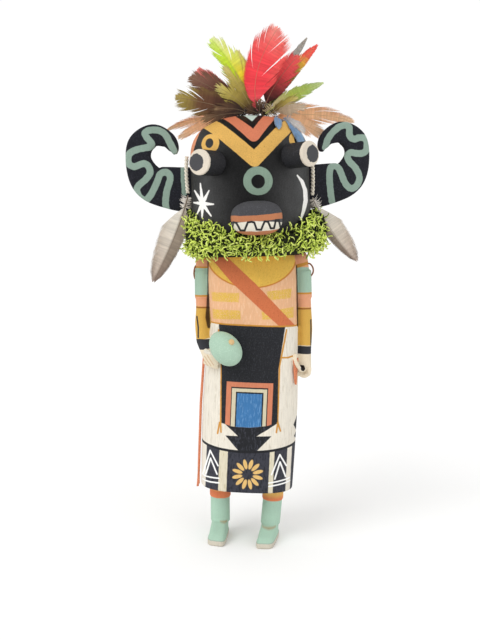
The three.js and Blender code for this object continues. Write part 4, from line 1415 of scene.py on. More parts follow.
@dataclass(frozen=True)
class ArmPaint:
    """The arms: peach shoulders, mint armbands, ochre forearms, black wristbands and cream hands."""

    cream: int = 0xE3D5BC
    peach: int = 0xE2A27C
    mint: int = 0xA3BFAB
    yellow: int = 0xD2A64E
    black: int = 0x303136
    brown: int = 0x9A6030
    ochre: int = 0xC4893A

    def make(self) -> Material:
        """Paints both arms and hands."""
        p = Paint("arm_paint", self.cream, Surfaces.flat(AXIS.y - 4), 0.3)
        p.lay(p.shape([(185, 304), (217, 304), (217, 335), (201, 338), (185, 340)]), self.yellow)
        p.lay(p.block(294.5, 304, 325, 346), self.yellow)
        p.lay(
            p.shape([(185, 337), (200, 337.2), (215, 334), (215, 345.5), (204, 347), (185, 352)]),
            self.black,
        )
        p.lay(p.block(297.4, 345.5, 325, 354.2), self.black)
        for left, right, elbow, low, high in ((180, 217, 307, 296, 267), (290, 325, 308.2, 293.5, 266.5)):
            p.lay(p.block(left, 240, right, elbow), self.peach)
            p.lay(p.stroke([(left, elbow + 0.6), (right, elbow + 0.4)], 1.5), self.brown)
            p.lay(p.block(left, high, right, low), self.mint)
            p.lay(p.stroke([(left, low), (right, low - 0.4)], 1.7), self.ochre)
        p.lay(p.block(180, 240, 217, 260.4), 0xDDAE50)
        p.lay(p.stroke([(180, 267.4), (217, 267.2)], 1.6), self.ochre)
        p.lay(p.shape([(292, 265.5), (312, 260.5), (312, 263.5), (292, 269.5)]), self.ochre)
        p.lay(p.stroke([(197, 316.5), (198.6, 326), (198.8, 336)], 1.6), self.black)
        p.lay(p.stroke([(311, 320), (311, 345)], 1.5), self.black)
        # Painted shade: dark lines along the arms' inner edges, in the grooves between the arms and the
        # chest
        for groove, widths in (
            (
                [(208.6, 262), (208.4, 290), (208, 306), (207.8, 317), (209.2, 326)],
                (2.2, 2.2, 3.2, 4.6, 3.2),
            ),
            ([(296.4, 266), (297, 300), (297.6, 326)], (1.6, 2.2, 1.6)),
        ):
            p.lay(p.stroke(groove, *widths), 0x32201A, 0.5, 0.92)
        # Painted shade: the dark hollow of the left fist between its thumb and fingers
        p.lay(
            p.shape(
                [(299.8, 363.6), (303.4, 364), (304.4, 366.6), (302.6, 369), (300.4, 368.2), (299.2, 365.6)]
            ),
            0x1E1612,
        )
        for i in range(3):
            p.lay(
                p.stroke([(203.2 + i * 2.6, 353.5 - i * 1.2), (209.5 + i * 2.6, 362.4 - i * 0.8)], 0.7),
                0xB98B56, 0.5, 0.7,
            )
        return p.finish(0.07, 0.07, 0.14, 0.14, 0.1)


@dataclass(frozen=True)
class BootPaint:
    """The legs: ochre and orange knee bands, mint boots and cream soles."""

    mint: int = 0xA9C8B4
    orange: int = 0xDC7F55
    yellow: int = 0xE0B162
    sole: int = 0xC9C2B2
    # Painted shade in the creases at the ankles
    crease: int = 0xA57A48

    def make(self) -> Material:
        """Paints both boots."""
        p = Paint("boot_paint", self.mint, Surfaces.flat(AXIS.y - 3), 0.3)
        p.lay(p.level(22.9, 40), self.orange)
        p.lay(p.within(p.level(25.4, 40), p.block(240, 470, 300, 520)), self.yellow, 2.6)
        p.lay(p.within(p.level(27.6, 40), p.block(180, 470, 240, 520)), self.yellow, 2.2)
        # Painted shade: soft brown creases at the ankles, where the boot's shaft meets the foot
        for crease in (
            [(220.5, 520.6), (225, 521.2), (229.4, 521.2)], [(262.6, 524), (268, 525), (275, 524.8)],
        ):
            p.lay(p.within(p.stroke(crease, 0.8, 1.6, 1.2), p.front(AXIS.y - 2)), self.crease, 0.9, 0.65)
        p.lay(p.level(-1, 2.75), self.sole)
        p.lay(p.level(2.65, 3.05), 0x93A394, 0.3, 0.8)
        return p.finish(0.07, 0.07, 0.13, 0.14, 0.09)


@dataclass(frozen=True)
class HornPaint:
    """The horns: black with a winding grey-green line."""

    black: int = 0x1F2027
    green: int = 0x8BA093

    def make(self) -> Material:
        """Paints both horns."""
        p = Paint("horn_paint", self.black, Surfaces.horn, 0.5)
        p.speckle(p.level(150, 260), 0x2E2F38, 1.4, 0.42)
        p.lay(p.drawn("winding"), self.green)
        return p.finish(0.1, 0.08, 0.26, 0.05, 0.12, 0.25)


@dataclass(frozen=True)
class SnoutPaint:
    """The snout: grey-black above and below, darker below with painted shade, orange lips, white teeth
    parted by a black zigzag.
    """

    black: int = 0x434346
    lip: int = 0xB47450
    white: int = 0xDDD7C8
    line: int = 0x2B2A2C

    def make(self) -> Material:
        """Paints the snout."""
        p = Paint("snout_paint", self.black, Surfaces.flat(NECK.y - 44), 0.3)
        p.speckle(p.level(160, 200), 0x505054, 1.8, 0.42)
        p.lay(p.stroke([(226, 218), (240, 219.2), (256, 218.6), (270, 217.2), (288, 214.6)], 5.4), self.lip)
        p.lay(p.stroke([(226, 232), (240, 233.4), (256, 234), (270, 232.6), (288, 229)], 5.4), self.lip)
        # Painted shade: the underside below the lower lip, darker than the top
        p.lay(
            p.shape(
                [
                    (222, 234.6), (240, 236.2), (256, 236.6), (270, 235.2), (290, 231.4), (290, 245),
                    (222, 245),
                ]
            ),
            0x232325,
        )
        mouth = p.shape(
            [
                (222, 220.2), (240, 220.8), (256, 220.4), (270, 219), (290, 216.6), (290, 227),
                (270, 230.4), (256, 231.6), (240, 231.2), (222, 229.8),
            ]
        )
        p.lay(mouth, self.white)
        zigzag = [
            (231.6, 230), (233.4, 222.2), (236.4, 223), (240.4, 230.4), (244.6, 230.6), (247.8, 222.5),
            (251.5, 222), (254.2, 222.6), (256.6, 229.6), (261, 229.8), (264.6, 221.4), (268, 222),
            (270.6, 228.4), (274, 228.2), (275.6, 220.2), (278.6, 220), (280.4, 226.5),
        ]
        p.lay(p.stroke(zigzag, 1.9), self.line)
        return p.finish(0.1, 0.06, 0.26, 0.12, 0.12)


@dataclass(frozen=True)
class Tone:
    """A plain finish: one colour with its dry speckle and its film."""

    name: str
    colour: int
    dry: int
    scale: float = 1.5
    cover: float = 0.42
    cloud: float = 0.1
    fibre: float = 0.06
    pore: float = 0.16
    rough: float = 0.15
    relief: float = 0.1

    def start(self) -> Paint:
        """Starts the paint, for marks of the piece's own."""
        paint = Paint(self.name, self.colour, Surfaces.flat(AXIS.y), 0.25)
        paint.speckle(paint.level(-10, 400), self.dry, self.scale, self.cover)
        return paint

    def make(self, paint: Paint | None = None) -> Material:
        """Ends the paint."""
        return (paint or self.start()).finish(self.cloud, self.fibre, self.pore, self.rough, self.relief)


def finish_piece(made: Object, material: Material, node: str) -> Object:
    """Gives a piece its material and its place in the model.

    Args:
        made: the piece.
        material: its finish.
        node: the CAD node that it stands for.

    Returns:
        The piece.
    """
    made.data.materials.clear()
    made.data.materials.append(material)
    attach(made, "root")
    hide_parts(node)
    return made


@dataclass
class Eye:
    """A dowel that stands out of the mask, white at its end with a dark pupil."""

    side: Side
    radius: float = 6.5
    reach: float = 46.2
    azimuth: float = 38
    chamfer: float = 0.55
    pupil: float = 4.35
    pupil_out: float = 1.5

    def build(self) -> Object:
        """Turns the dowel and paints it."""
        z = HEAD_HEIGHT * (0.647 if self.side is Side.RIGHT else 0.685)
        azimuth = self.side.value * self.azimuth
        out = HEAD.round(azimuth, 1, 0)
        r, chamfer = self.radius, self.chamfer
        profile = [(28 + i * 1.75, r) for i in range(11)] + [(self.reach - chamfer, r)]
        for a in (0.4, 0.8, 1.2):
            profile.append((self.reach - chamfer * (1 - math.sin(a)), r - chamfer * (1 - math.cos(a))))
        profile += [(self.reach, r - chamfer - 0.1)] + [
            (self.reach + 0.02, flat) for flat in (5, 3.4, 1.6, 0.3)
        ]
        rings = [
            [TO_WORLD @ p for p in Carver.across(HEAD.round(azimuth, d, z), out, r, 40)] for d, r in profile
        ]
        made = Carver.loft(f"{self.side.word}_eye_dowel", rings)
        made.data.shade_flat()
        activate(made)
        bpy.ops.object.shade_smooth_by_angle(angle=math.radians(32))
        return finish_piece(made, self.paint(azimuth, z), f"{self.side.word}_eye")

    def paint(self, azimuth: float, z: float) -> Material:
        """Black on the dowel's side, white at its end and the pupil on it."""
        p = Paint(f"{self.side.word}_eye_paint", 0x27272A, Surfaces.flat(NECK.y), 0.3)
        p.speckle(p.level(100, 300), 0x38383C, 1.6, 0.42)
        out = TURN_TO_WORLD @ HEAD.round(azimuth, 1, 0)
        outward = TURN_TO_WORLD @ HEAD.round(azimuth + 90 * self.side.value, 1, 0)
        end = TO_WORLD @ HEAD.round(azimuth, self.reach, z)
        mm = p.mm(p.place)
        noise = p.noise(mm, 0.7, 2.0)
        deep = p.vector("DOT_PRODUCT", p.vector("SUBTRACT", mm, tuple(end)), tuple(out))
        p.lay(p.plus(p.minus(-1.3, deep), p.swing(noise, 1.2)), 0xD9CEBE)
        far = p.vector("DISTANCE", mm, tuple(end + outward * self.pupil_out))
        p.lay(p.plus(p.minus(far, self.pupil), p.swing(noise, 1.1)), 0x48484B)
        return p.finish(0.08, 0.06, 0.2, 0.14, 0.1)


@dataclass
class Snout:
    """The short snout, rounded at its front."""

    width: float = 25.7
    height: float = 17.4
    reach: float = 47.5
    rise: float = 0.2677
    power: float = 2.6

    def build(self) -> Object:
        """Carves the snout and paints it."""
        steps = [(27, 1, 1), (33, 1, 1), (39, 1, 1)]
        for i in range(1, 14):
            a = math.pi / 2 * i / 14
            wide, high = 0.42 + 0.58 * math.cos(a) ** 0.62, 0.36 + 0.64 * math.cos(a) ** 0.7
            steps.append((39 + 8.5 * math.sin(a), wide, high))
        steps.append((self.reach, 0.3, 0.2))
        rings = []
        for reach, wide, high in steps:
            flat = Carver.superellipse(
                Vector(), (self.width / 2 * wide, self.height / 2 * high), self.power, 56,
            )
            rings.append([TO_WORLD @ Vector((p.x, -reach, self.rise * HEAD_HEIGHT + p.y)) for p in flat])
        made = Carver.loft("carved_snout", rings)
        return finish_piece(made, SnoutPaint().make(), "snout")


@dataclass
class Horn:
    """A curled horn cut from board with its edges eased."""

    side: Side
    material: Material
    reach: float = 60.9
    thickness: float = 5
    depth: float = 4
    root: float = 0.4987
    line: tuple[Triple, ...] = (
        (0.46, -0.01, 0.205),
        (0.57, -0.004, 0.202),
        (0.7, 0.013, 0.192),
        (0.87, 0.053, 0.168),
        (0.955, 0.137, 0.146),
        (1.0, 0.28, 0.116),
        (0.972, 0.41, 0.115),
        (0.856, 0.486, 0.1),
        (0.735, 0.448, 0.073),
        (0.68, 0.374, 0.051),
        (0.665, 0.318, 0.018),
    )

    def winding(self) -> list[tuple[list[Vector], float]]:
        """The painted lines' spots in x and z and their half widths, in millimetres."""
        right = [
            (167, 213), (165.5, 203), (167, 190), (170, 180), (169, 174), (164.5, 172), (160, 174.5),
            (157, 182), (153, 191),
            (148, 198.5), (142.5, 199.5), (137.5, 193.5), (137.5, 187), (145, 180), (150, 173),
            (148.5, 166.5), (143.5, 163.5),
            (135, 166.5), (129.5, 164.5), (128, 158), (130.5, 152.5), (138.5, 149), (149.5, 147),
            (151.5, 143.5), (146.5, 137),
            (144.8, 133), (149.5, 130.2), (158, 130.2), (165, 134), (170, 143), (173, 149), (175, 153.5),
        ]
        left = [
            (325.5, 147.5), (328, 139), (334, 131), (341, 126), (347.5, 125), (349.5, 129), (349.5, 135),
            (353.5, 139), (360, 137.5),
            (365.5, 138.5), (367, 145), (365.5, 151.5), (359.5, 153.5), (351, 152.5), (347.5, 156),
            (350, 162), (356, 168.5),
            (359.5, 177), (357.5, 184.5), (352, 188.5), (346.5, 185), (342.5, 177), (339, 168.5),
            (334.5, 165.5), (330.5, 168.5),
            (329.5, 178), (330.5, 190), (332, 201),
        ]
        lines = [(left, 3.3)]
        if self.side is Side.RIGHT:
            lines = [(right, 3.3), ([(183.2, 166), (183.6, 180), (184.5, 193)], 2.6)]
        return [
            ([Vector(SIGHT.meet(*spot, Surfaces.horn)) for spot in line], half * SIGHT.mm_per_px)
            for line, half in lines
        ]

    def draw(self, made: Object) -> None:
        """Writes each vertex's distance to the painted lines into the mesh."""
        lines = []
        for line, half in self.winding():
            smooth = Carver.spline([p.to_3d() for p in line], 4)
            lines += [(a.xy, b.xy, half) for a, b in zip(smooth, smooth[1:])]
        far = []
        for v in made.data.vertices:
            spot = Vector((v.co.x, v.co.z)) / MM
            nearest = 99.0
            for a, b, half in lines:
                run = b - a
                t = clamp((spot - a).dot(run) / run.length_squared)
                nearest = min(nearest, (spot - a - run * t).length - half)
            far.append(nearest)
        made.data.attributes.new("winding", "FLOAT", "POINT").data.foreach_set("value", far)

    def build(self) -> Object:
        """Draws the board along the curl."""
        sign = self.side.value
        size = self.reach * (1 if self.side is Side.RIGHT else 0.98)
        shift = 0.3 if self.side is Side.RIGHT else 0.8
        root = self.root * HEAD_HEIGHT
        points = [
            Vector((x * size + sign * shift, root + z * size, half * size)) for x, z, half in self.line
        ]
        line = Carver.spline(points, 8)
        rings = []
        for i, at in enumerate(line):
            along = line[min(i + 1, len(line) - 1)] - line[max(i - 1, 0)]
            along = Vector((along.x, along.y)).normalized()
            half = max(0.9, at.z)
            ring = []
            for j in range(20):
                c, s = math.cos(math.tau * j / 20), math.sin(math.tau * j / 20)
                u = squared(c, 0.28)
                v = squared(s, 0.28) * self.thickness / 2
                ease = 0.5 * (1 - math.sqrt(max(0.0, 1 - (abs(v) / (self.thickness / 2)) ** 6)))
                reach = u * (half - ease)
                ring.append(
                    TO_WORLD @ Vector(
                        (sign * (at.x - along.y * reach), self.depth + v, at.y + along.x * reach)
                    )
                )
            rings.append(ring)
        made = Carver.loft(f"{self.side.word}_curled_horn", rings)
        Carver.fuse(made, 0.55, 2)
        self.draw(made)
        return finish_piece(made, self.material, f"{self.side.word}_horn")


@dataclass
class MossRuff:
    """The collar of dried moss: a dark inner shell of painted shade with curly sprigs all over it."""

    reach: float = 40
    bottom: float = 3.2
    front_top: float = 11.5
    side_top: float = 25
    back_top: float = 20
    shift: float = 1.8
    sprigs: int = 2500
    seed: int = 7

    def top(self, azimuth: float) -> float:
        """The collar's top edge round the head."""
        c = math.cos(math.radians(azimuth))
        front = max(0, c) ** 1.5 * (self.side_top - self.front_top)
        return self.side_top - front - max(0, -c) ** 2 * (self.side_top - self.back_top)

    @staticmethod
    def stray(rng: random.Random, aside: float, up: float) -> Vector:
        """Draws an offset of up to `aside` each way along x and y and up to `up` along z."""
        return Vector((rng.uniform(-aside, aside), rng.uniform(-aside, aside), rng.uniform(-up, up)))

    def sprig(self, rng: random.Random) -> tuple[list[Vector], Faces]:
        """Models one curly sprig in millimetres: a thin four sided stem that winds."""
        points = [Vector((0, 0, -1.0))]
        heading = Vector((rng.uniform(-0.5, 0.5), rng.uniform(-0.5, 0.5), 1)).normalized()
        axis = self.stray(rng, 1, 0.6).normalized()
        for _ in range(8):
            heading = (Matrix.Rotation(rng.uniform(0.3, 0.95), 3, axis) @ heading).normalized()
            axis = (axis + self.stray(rng, 0.6, 0.6)).normalized()
            points.append(points[-1] + heading * rng.uniform(0.6, 0.9))
        rings = []
        for i, p in enumerate(points):
            along = points[min(i + 1, 8)] - points[max(i - 1, 0)]
            rings.append(Carver.across(p, along, 0.47 - 0.026 * i, 4))
        made = Carver.loft("sprig", rings)
        vertices = [v.co / MM for v in made.data.vertices]
        faces = [tuple(f.vertices) for f in made.data.polygons]
        bpy.data.objects.remove(made)
        return vertices, faces

    def build(self) -> Object:
        """Grows the sprigs over the dark inner shell and joins the two."""
        rng = random.Random(self.seed)
        kinds = [self.sprig(rng) for _ in range(7)]
        vertices: list[Vector] = []
        faces: Faces = []
        shades: list[float] = []
        for _ in range(self.sprigs):
            azimuth = rng.uniform(-180, 180)
            top = self.top(azimuth) + rng.uniform(-1.2, 1.2)
            low = self.bottom
            profile = [
                (26, low), (33, low - 0.4), (37, low + 3), (38, (low + top) / 2), (36.6, top - 2.6),
                (34.4, top - 0.6),
            ]
            share = rng.uniform(0.8, len(profile) - 1.001)
            k = int(share)
            (near, lower), (far, upper) = profile[k], profile[k + 1]
            distance, z = lerp(near, far, share - k), lerp(lower, upper, share - k)
            spot = TO_WORLD @ (HEAD.round(azimuth, distance, z) + Vector((self.shift, 0, 0)))
            edge = Vector((far - near, 0, upper - lower)).normalized()
            out = (TURN_TO_WORLD @ HEAD.round(azimuth, edge.z, -edge.x)).normalized()
            out = (out + self.stray(rng, 0.7, 0.6)).normalized()
            turn = out.to_track_quat("Z", "Y").to_matrix() @ Matrix.Rotation(
                rng.uniform(0, math.tau), 3, "Z",
            )
            size = rng.uniform(0.75, 1.35)
            shape, skin = kinds[rng.randrange(len(kinds))]
            first = len(vertices)
            vertices += [(spot + turn @ (p * size)) * MM for p in shape]
            faces += [tuple(first + i for i in face) for face in skin]
            # Painted shade: each sprig's shade darkens towards its root, deep in the collar, times a tone
            # drawn at random for the sprig
            shade = rng.random()
            shades += [clamp(0.3 + p.z * size / 2.4) * (0.62 + 0.38 * shade) for p in shape]
        sprigs = Carver.skin("moss_sprigs", vertices, faces)
        sprigs.data.attributes.new("shade", "FLOAT", "POINT").data.foreach_set("value", shades)
        # A dark shell just inside the collar, painted shade in the gaps between the sprigs: it has no shade
        # values, so it takes the ramp's darkest green
        shade_core = Carver.cad_copy("moss_shade_core", "moss_ruff")
        Carver.apply(shade_core, "DISPLACE", strength=-1.1 * MM, mid_level=0)
        made = Carver.join("moss_collar", [shade_core, sprigs])
        made.data.shade_smooth()
        return finish_piece(made, self.paint(), "moss_ruff")

    def paint(self) -> Material:
        """Bright yellow-green at the tips, and painted shade deep down: dark and brown towards the roots and
        on the inner shell.
        """
        tone = Tone("moss_green", 0x4A5620, 0x5A662A, 0.35, 0.5, 0.2, 0.0, 0.1, 0.3, 0.15)
        p = tone.start()
        shade = p.add("Attribute", attribute_name="shade").outputs["Fac"]
        # The ramp runs from painted shade, near black deep down, to the bright yellow-green of the sprigs'
        # tips
        stops = (
            (0, 0x1A1E0C), (0.1, 0x4A5620), (0.28, 0xB8CC56), (0.5, 0xD8EC68), (0.75, 0xE2F274),
            (0.95, 0xE9F58E),
        )
        p.colour = p.mix(0.04, p.ramp(shade, stops), p.colour)
        return tone.make(p)


class Vane(Enum):
    """A vane's outlines: shares of its length, and the half width there as a share of the widest."""

    BROAD = (
        (0, 0.06), (0.12, 0.2), (0.28, 0.55), (0.48, 0.9), (0.66, 1), (0.82, 0.98), (0.93, 0.82), (1, 0.5),
    )
    LEAF = (
        (0, 0.06), (0.12, 0.28), (0.28, 0.72), (0.46, 1), (0.64, 0.94), (0.8, 0.68), (0.92, 0.36),
        (1, 0.05),
    )
    SLIM = ((0, 0.1), (0.15, 0.4), (0.35, 0.9), (0.6, 1), (0.8, 0.85), (0.93, 0.5), (1, 0.08))
    WISP = ((0, 0.5), (0.2, 0.95), (0.4, 1), (0.6, 0.86), (0.8, 0.6), (0.92, 0.36), (1, 0.1))
    TUFT = ((0, 0.3), (0.2, 0.7), (0.5, 1), (0.8, 0.95), (1, 0.6))
    EAR = (
        (0, 0.02), (0.04, 0.3), (0.12, 0.72), (0.28, 0.97), (0.46, 1), (0.66, 0.93), (0.82, 0.74),
        (0.93, 0.46), (1, 0.06),
    )


@dataclass(frozen=True)
class Plumage:
    """A feather's colours: along its two vanes, and at the barbs' ends."""

    one: Stops
    other: Stops | None = None
    ends: int | None = None
    ends_share: float = 0.0
    shaft: int = 0xA08A68

    def make(self, name: str) -> Material:
        """Makes the feather's material, which follows its own map."""
        n = Finish(name)
        along, across, _ = n.split(n.add("UVMap", uv_map="vane").outputs[0])
        noise = n.noise(n.place, 240.0, 3.0)
        wavy = n.plus(along, n.swing(noise, 0.16))
        colour = n.ramp(wavy, self.one)
        if self.other:
            side = n.math("MULTIPLY", n.minus(across, 0.5), 12.0, True)
            colour = n.mix(side, colour, n.ramp(wavy, self.other))
        middle = n.math("ABSOLUTE", n.minus(across, 0.5))
        if self.ends is not None:
            outer = n.minus(n.plus(middle, n.times(along, 0.12)), 0.28)
            share = n.math("MULTIPLY", outer, 3.2, True)
            colour = n.mix(n.times(share, self.ends_share), colour, self.ends)
        colour = n.mix(n.times(n.math("LESS_THAN", middle, 0.009), 0.4), colour, self.shaft)
        plume = n.group(Effect.PLUME, Colour=colour, Along=along, Across=across, Streak=0.55)
        return n.shade({
            "Base Color": plume["Colour"],
            "Normal": n.bump(plume["Height"], 0.1, 0.6),
            "Roughness": n.plus(n.times(noise, 0.3), 0.5),
            "Specular IOR Level": 0.25,
            "Sheen Weight": 0.15,
        })


@dataclass
class Feather:
    """One feather: a shaft with barbs close along both its sides, drawn on a sheet in the head's frame."""

    name: str
    root: Point
    start: float
    lean: float
    length: float
    width: float
    sheet: Depth
    plumage: Plumage
    slot: str
    vane: Vane = Vane.BROAD
    barbs: int = 170
    down: float = 0.14
    down_reach: float = 4.5
    fray: float = 0.5
    slope: Point = (52, 22)
    bias: float = 0.5
    seed: int = 1
    barb_steps: int = 5

    def heading(self, degrees: float) -> Vector:
        """A direction from the head's axis."""
        return Vector((math.sin(math.radians(degrees)), math.cos(math.radians(degrees))))

    def spot(self, s: float, w: float) -> Vector:
        """Maps a way along the shaft and a way across it, in millimetres, to the head's frame."""
        a = Vector(self.root)
        b, c = a + self.heading(self.start) * self.length * 0.45, a + self.heading(self.lean) * self.length
        t = clamp(s / self.length)
        at = a * (1 - t) ** 2 + b * 2 * t * (1 - t) + c * t**2
        along = ((b - a) * (1 - t) + (c - b) * t).normalized()
        at = at + along * (s - t * self.length)
        return Vector((at.x + along.y * w, 0, at.y - along.x * w))

    def half(self, t: float, side: int) -> float:
        """The vane's width on one side at a share of the length."""
        share = self.bias if side > 0 else 1 - self.bias
        for (a, wa), (b, wb) in zip(self.vane.value, self.vane.value[1:]):
            if t <= b:
                return lerp(wa, wb, (t - a) / (b - a)) * self.width * share
        return 0.0

    def shaft(self) -> Object:
        """The quill and shaft, tapering to the tip."""
        rings = []
        for i in range(19):
            s = self.length * (i / 18) * 0.93
            here, ahead = self.place(s, 0), self.place(s + 0.5, 0)
            root = 0.16 if self.vane is Vane.TUFT else 0.42
            rings.append(Carver.across(here, ahead - here, lerp(root, 0.08, (i / 18) ** 0.6), 6))
        made = Carver.loft(self.name + "_shaft", rings)
        layer = made.data.uv_layers.new(name="vane")
        for loop in layer.data:
            loop.uv = (0.5, 0.5)
        return made

    def place(self, s: float, w: float, lift: float = 0) -> Vector:
        """The place in the doll's frame, `lift` behind the sheet."""
        at = self.spot(s, w)
        at.y = self.sheet(at.x, at.z) + lift
        return TO_WORLD @ at

    def barb(self, s: float, side: int, angle: float, bend: float) -> list[Point]:
        """Follows one barb from the shaft to the vane's outline.

        Args:
            s: where it leaves the shaft, in millimetres.
            side: which side of the shaft.
            angle: how steeply it leaves, in degrees.
            bend: how much it turns towards the tip, in degrees.

        Returns:
            Its places as ways along and across.
        """
        path = [(s, 0.0)]
        w, step = 0.0, self.width / 26
        for k in range(60):
            if w >= self.half(s / self.length, side) or s > self.length:
                break
            turn = math.radians(angle - bend * min(1, k / 20))
            s, w = s + step * math.cos(turn), w + step * math.sin(turn)
            path.append((s, w))
        return path

    def build(self) -> Object:
        """Lays barb after barb along the shaft and joins them to it."""
        rng = random.Random(self.seed)
        vertices: list[Vector] = []
        faces: Faces = []
        map_of: list[Point] = []
        pitch = self.length / self.barbs
        for side in (-1, 1):
            clump, clump_until, reach_of = 0.0, 0.0, 1.0
            for i in range(self.barbs):
                t = 0.02 + 0.96 * i / self.barbs
                downy = t < self.down
                if t >= clump_until:
                    clump, reach_of = rng.uniform(-1, 1), 1 - rng.random() ** 2 * 0.3 * self.fray
                    clump_until = t + rng.uniform(0.02, 0.1)
                angle = lerp(self.slope[0], self.slope[1], t**0.8) + clump * 3 * self.fray
                share_of = reach_of * rng.uniform(1 - 0.14 * self.fray, 1.03)
                if downy:
                    turn = math.radians(rng.uniform(25, 100))
                    length = self.down_reach * rng.uniform(0.5, 1.1)
                    path = []
                    for q in (0, 0.25, 0.5, 0.75, 1):
                        reach = length * q
                        path.append(
                            (t * self.length + reach * math.cos(turn + q * 0.5), reach * math.sin(turn))
                        )
                else:
                    path = self.barb(t * self.length, side, angle, 14)
                last = (len(path) - 1) * share_of
                wide = pitch * (0.55 if downy else 1.25)
                lift = side * 0.05 + rng.uniform(-0.2, 0.2) * (3 if downy else 1)
                wave = rng.uniform(-1, 1) * 0.012 * self.fray * self.width
                first = len(vertices)
                for k in range(self.barb_steps + 1):
                    share = k / self.barb_steps
                    at = last * share
                    j = min(len(path) - 2, int(at)) if len(path) > 1 else 0
                    here, ahead = Vector(path[j]), Vector(path[min(j + 1, len(path) - 1)])
                    s, w = here.lerp(ahead, min(1.3, at - j))
                    s += wave * share**2
                    thick = wide * (1 - share**6) + 0.03
                    cup = 0.035 * self.width * share**2
                    for edge in (-1, 1):
                        vertices.append(
                            self.place(s + edge * thick, side * w, lift * share + cup + edge * 0.03) * MM
                        )
                        across = 0.5 + side * min(0.49, 0.98 * w / self.width)
                        map_of.append((min(0.999, max(0.001, s / self.length)), across))
                corners = range(first, first + 2 * self.barb_steps, 2)
                faces += [(c, c + 1, c + 3, c + 2) for c in corners]
        barbs = Carver.skin(self.name + "_vane", vertices, faces)
        layer = barbs.data.uv_layers.new(name="vane")
        for loop in barbs.data.loops:
            layer.data[loop.index].uv = map_of[loop.vertex_index]
        made = Carver.join(self.name + "_feather", [self.shaft(), barbs])
        made.data.shade_smooth()
        made.data.materials.clear()
        made.data.materials.append(self.plumage.make(self.name + "_plumage"))
        return made

    def fix(self, extra: Sequence["Feather"] = ()) -> Object:
        """Builds the feather with the tufts that lie at its foot, in the CAD feather's place."""
        parts = [self.build(), *(tuft.build() for tuft in extra)]
        made = Carver.join(self.name + "_feather", parts)
        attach(made, "root")
        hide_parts(self.name)
        return made


ORANGE = Plumage(
    ((0.0, 0xDDA074), (0.4, 0xEFBC8E), (0.8, 0xF1C49A), (1.0, 0xF4D0AC)), ends=0xE6B486, ends_share=0.3
)


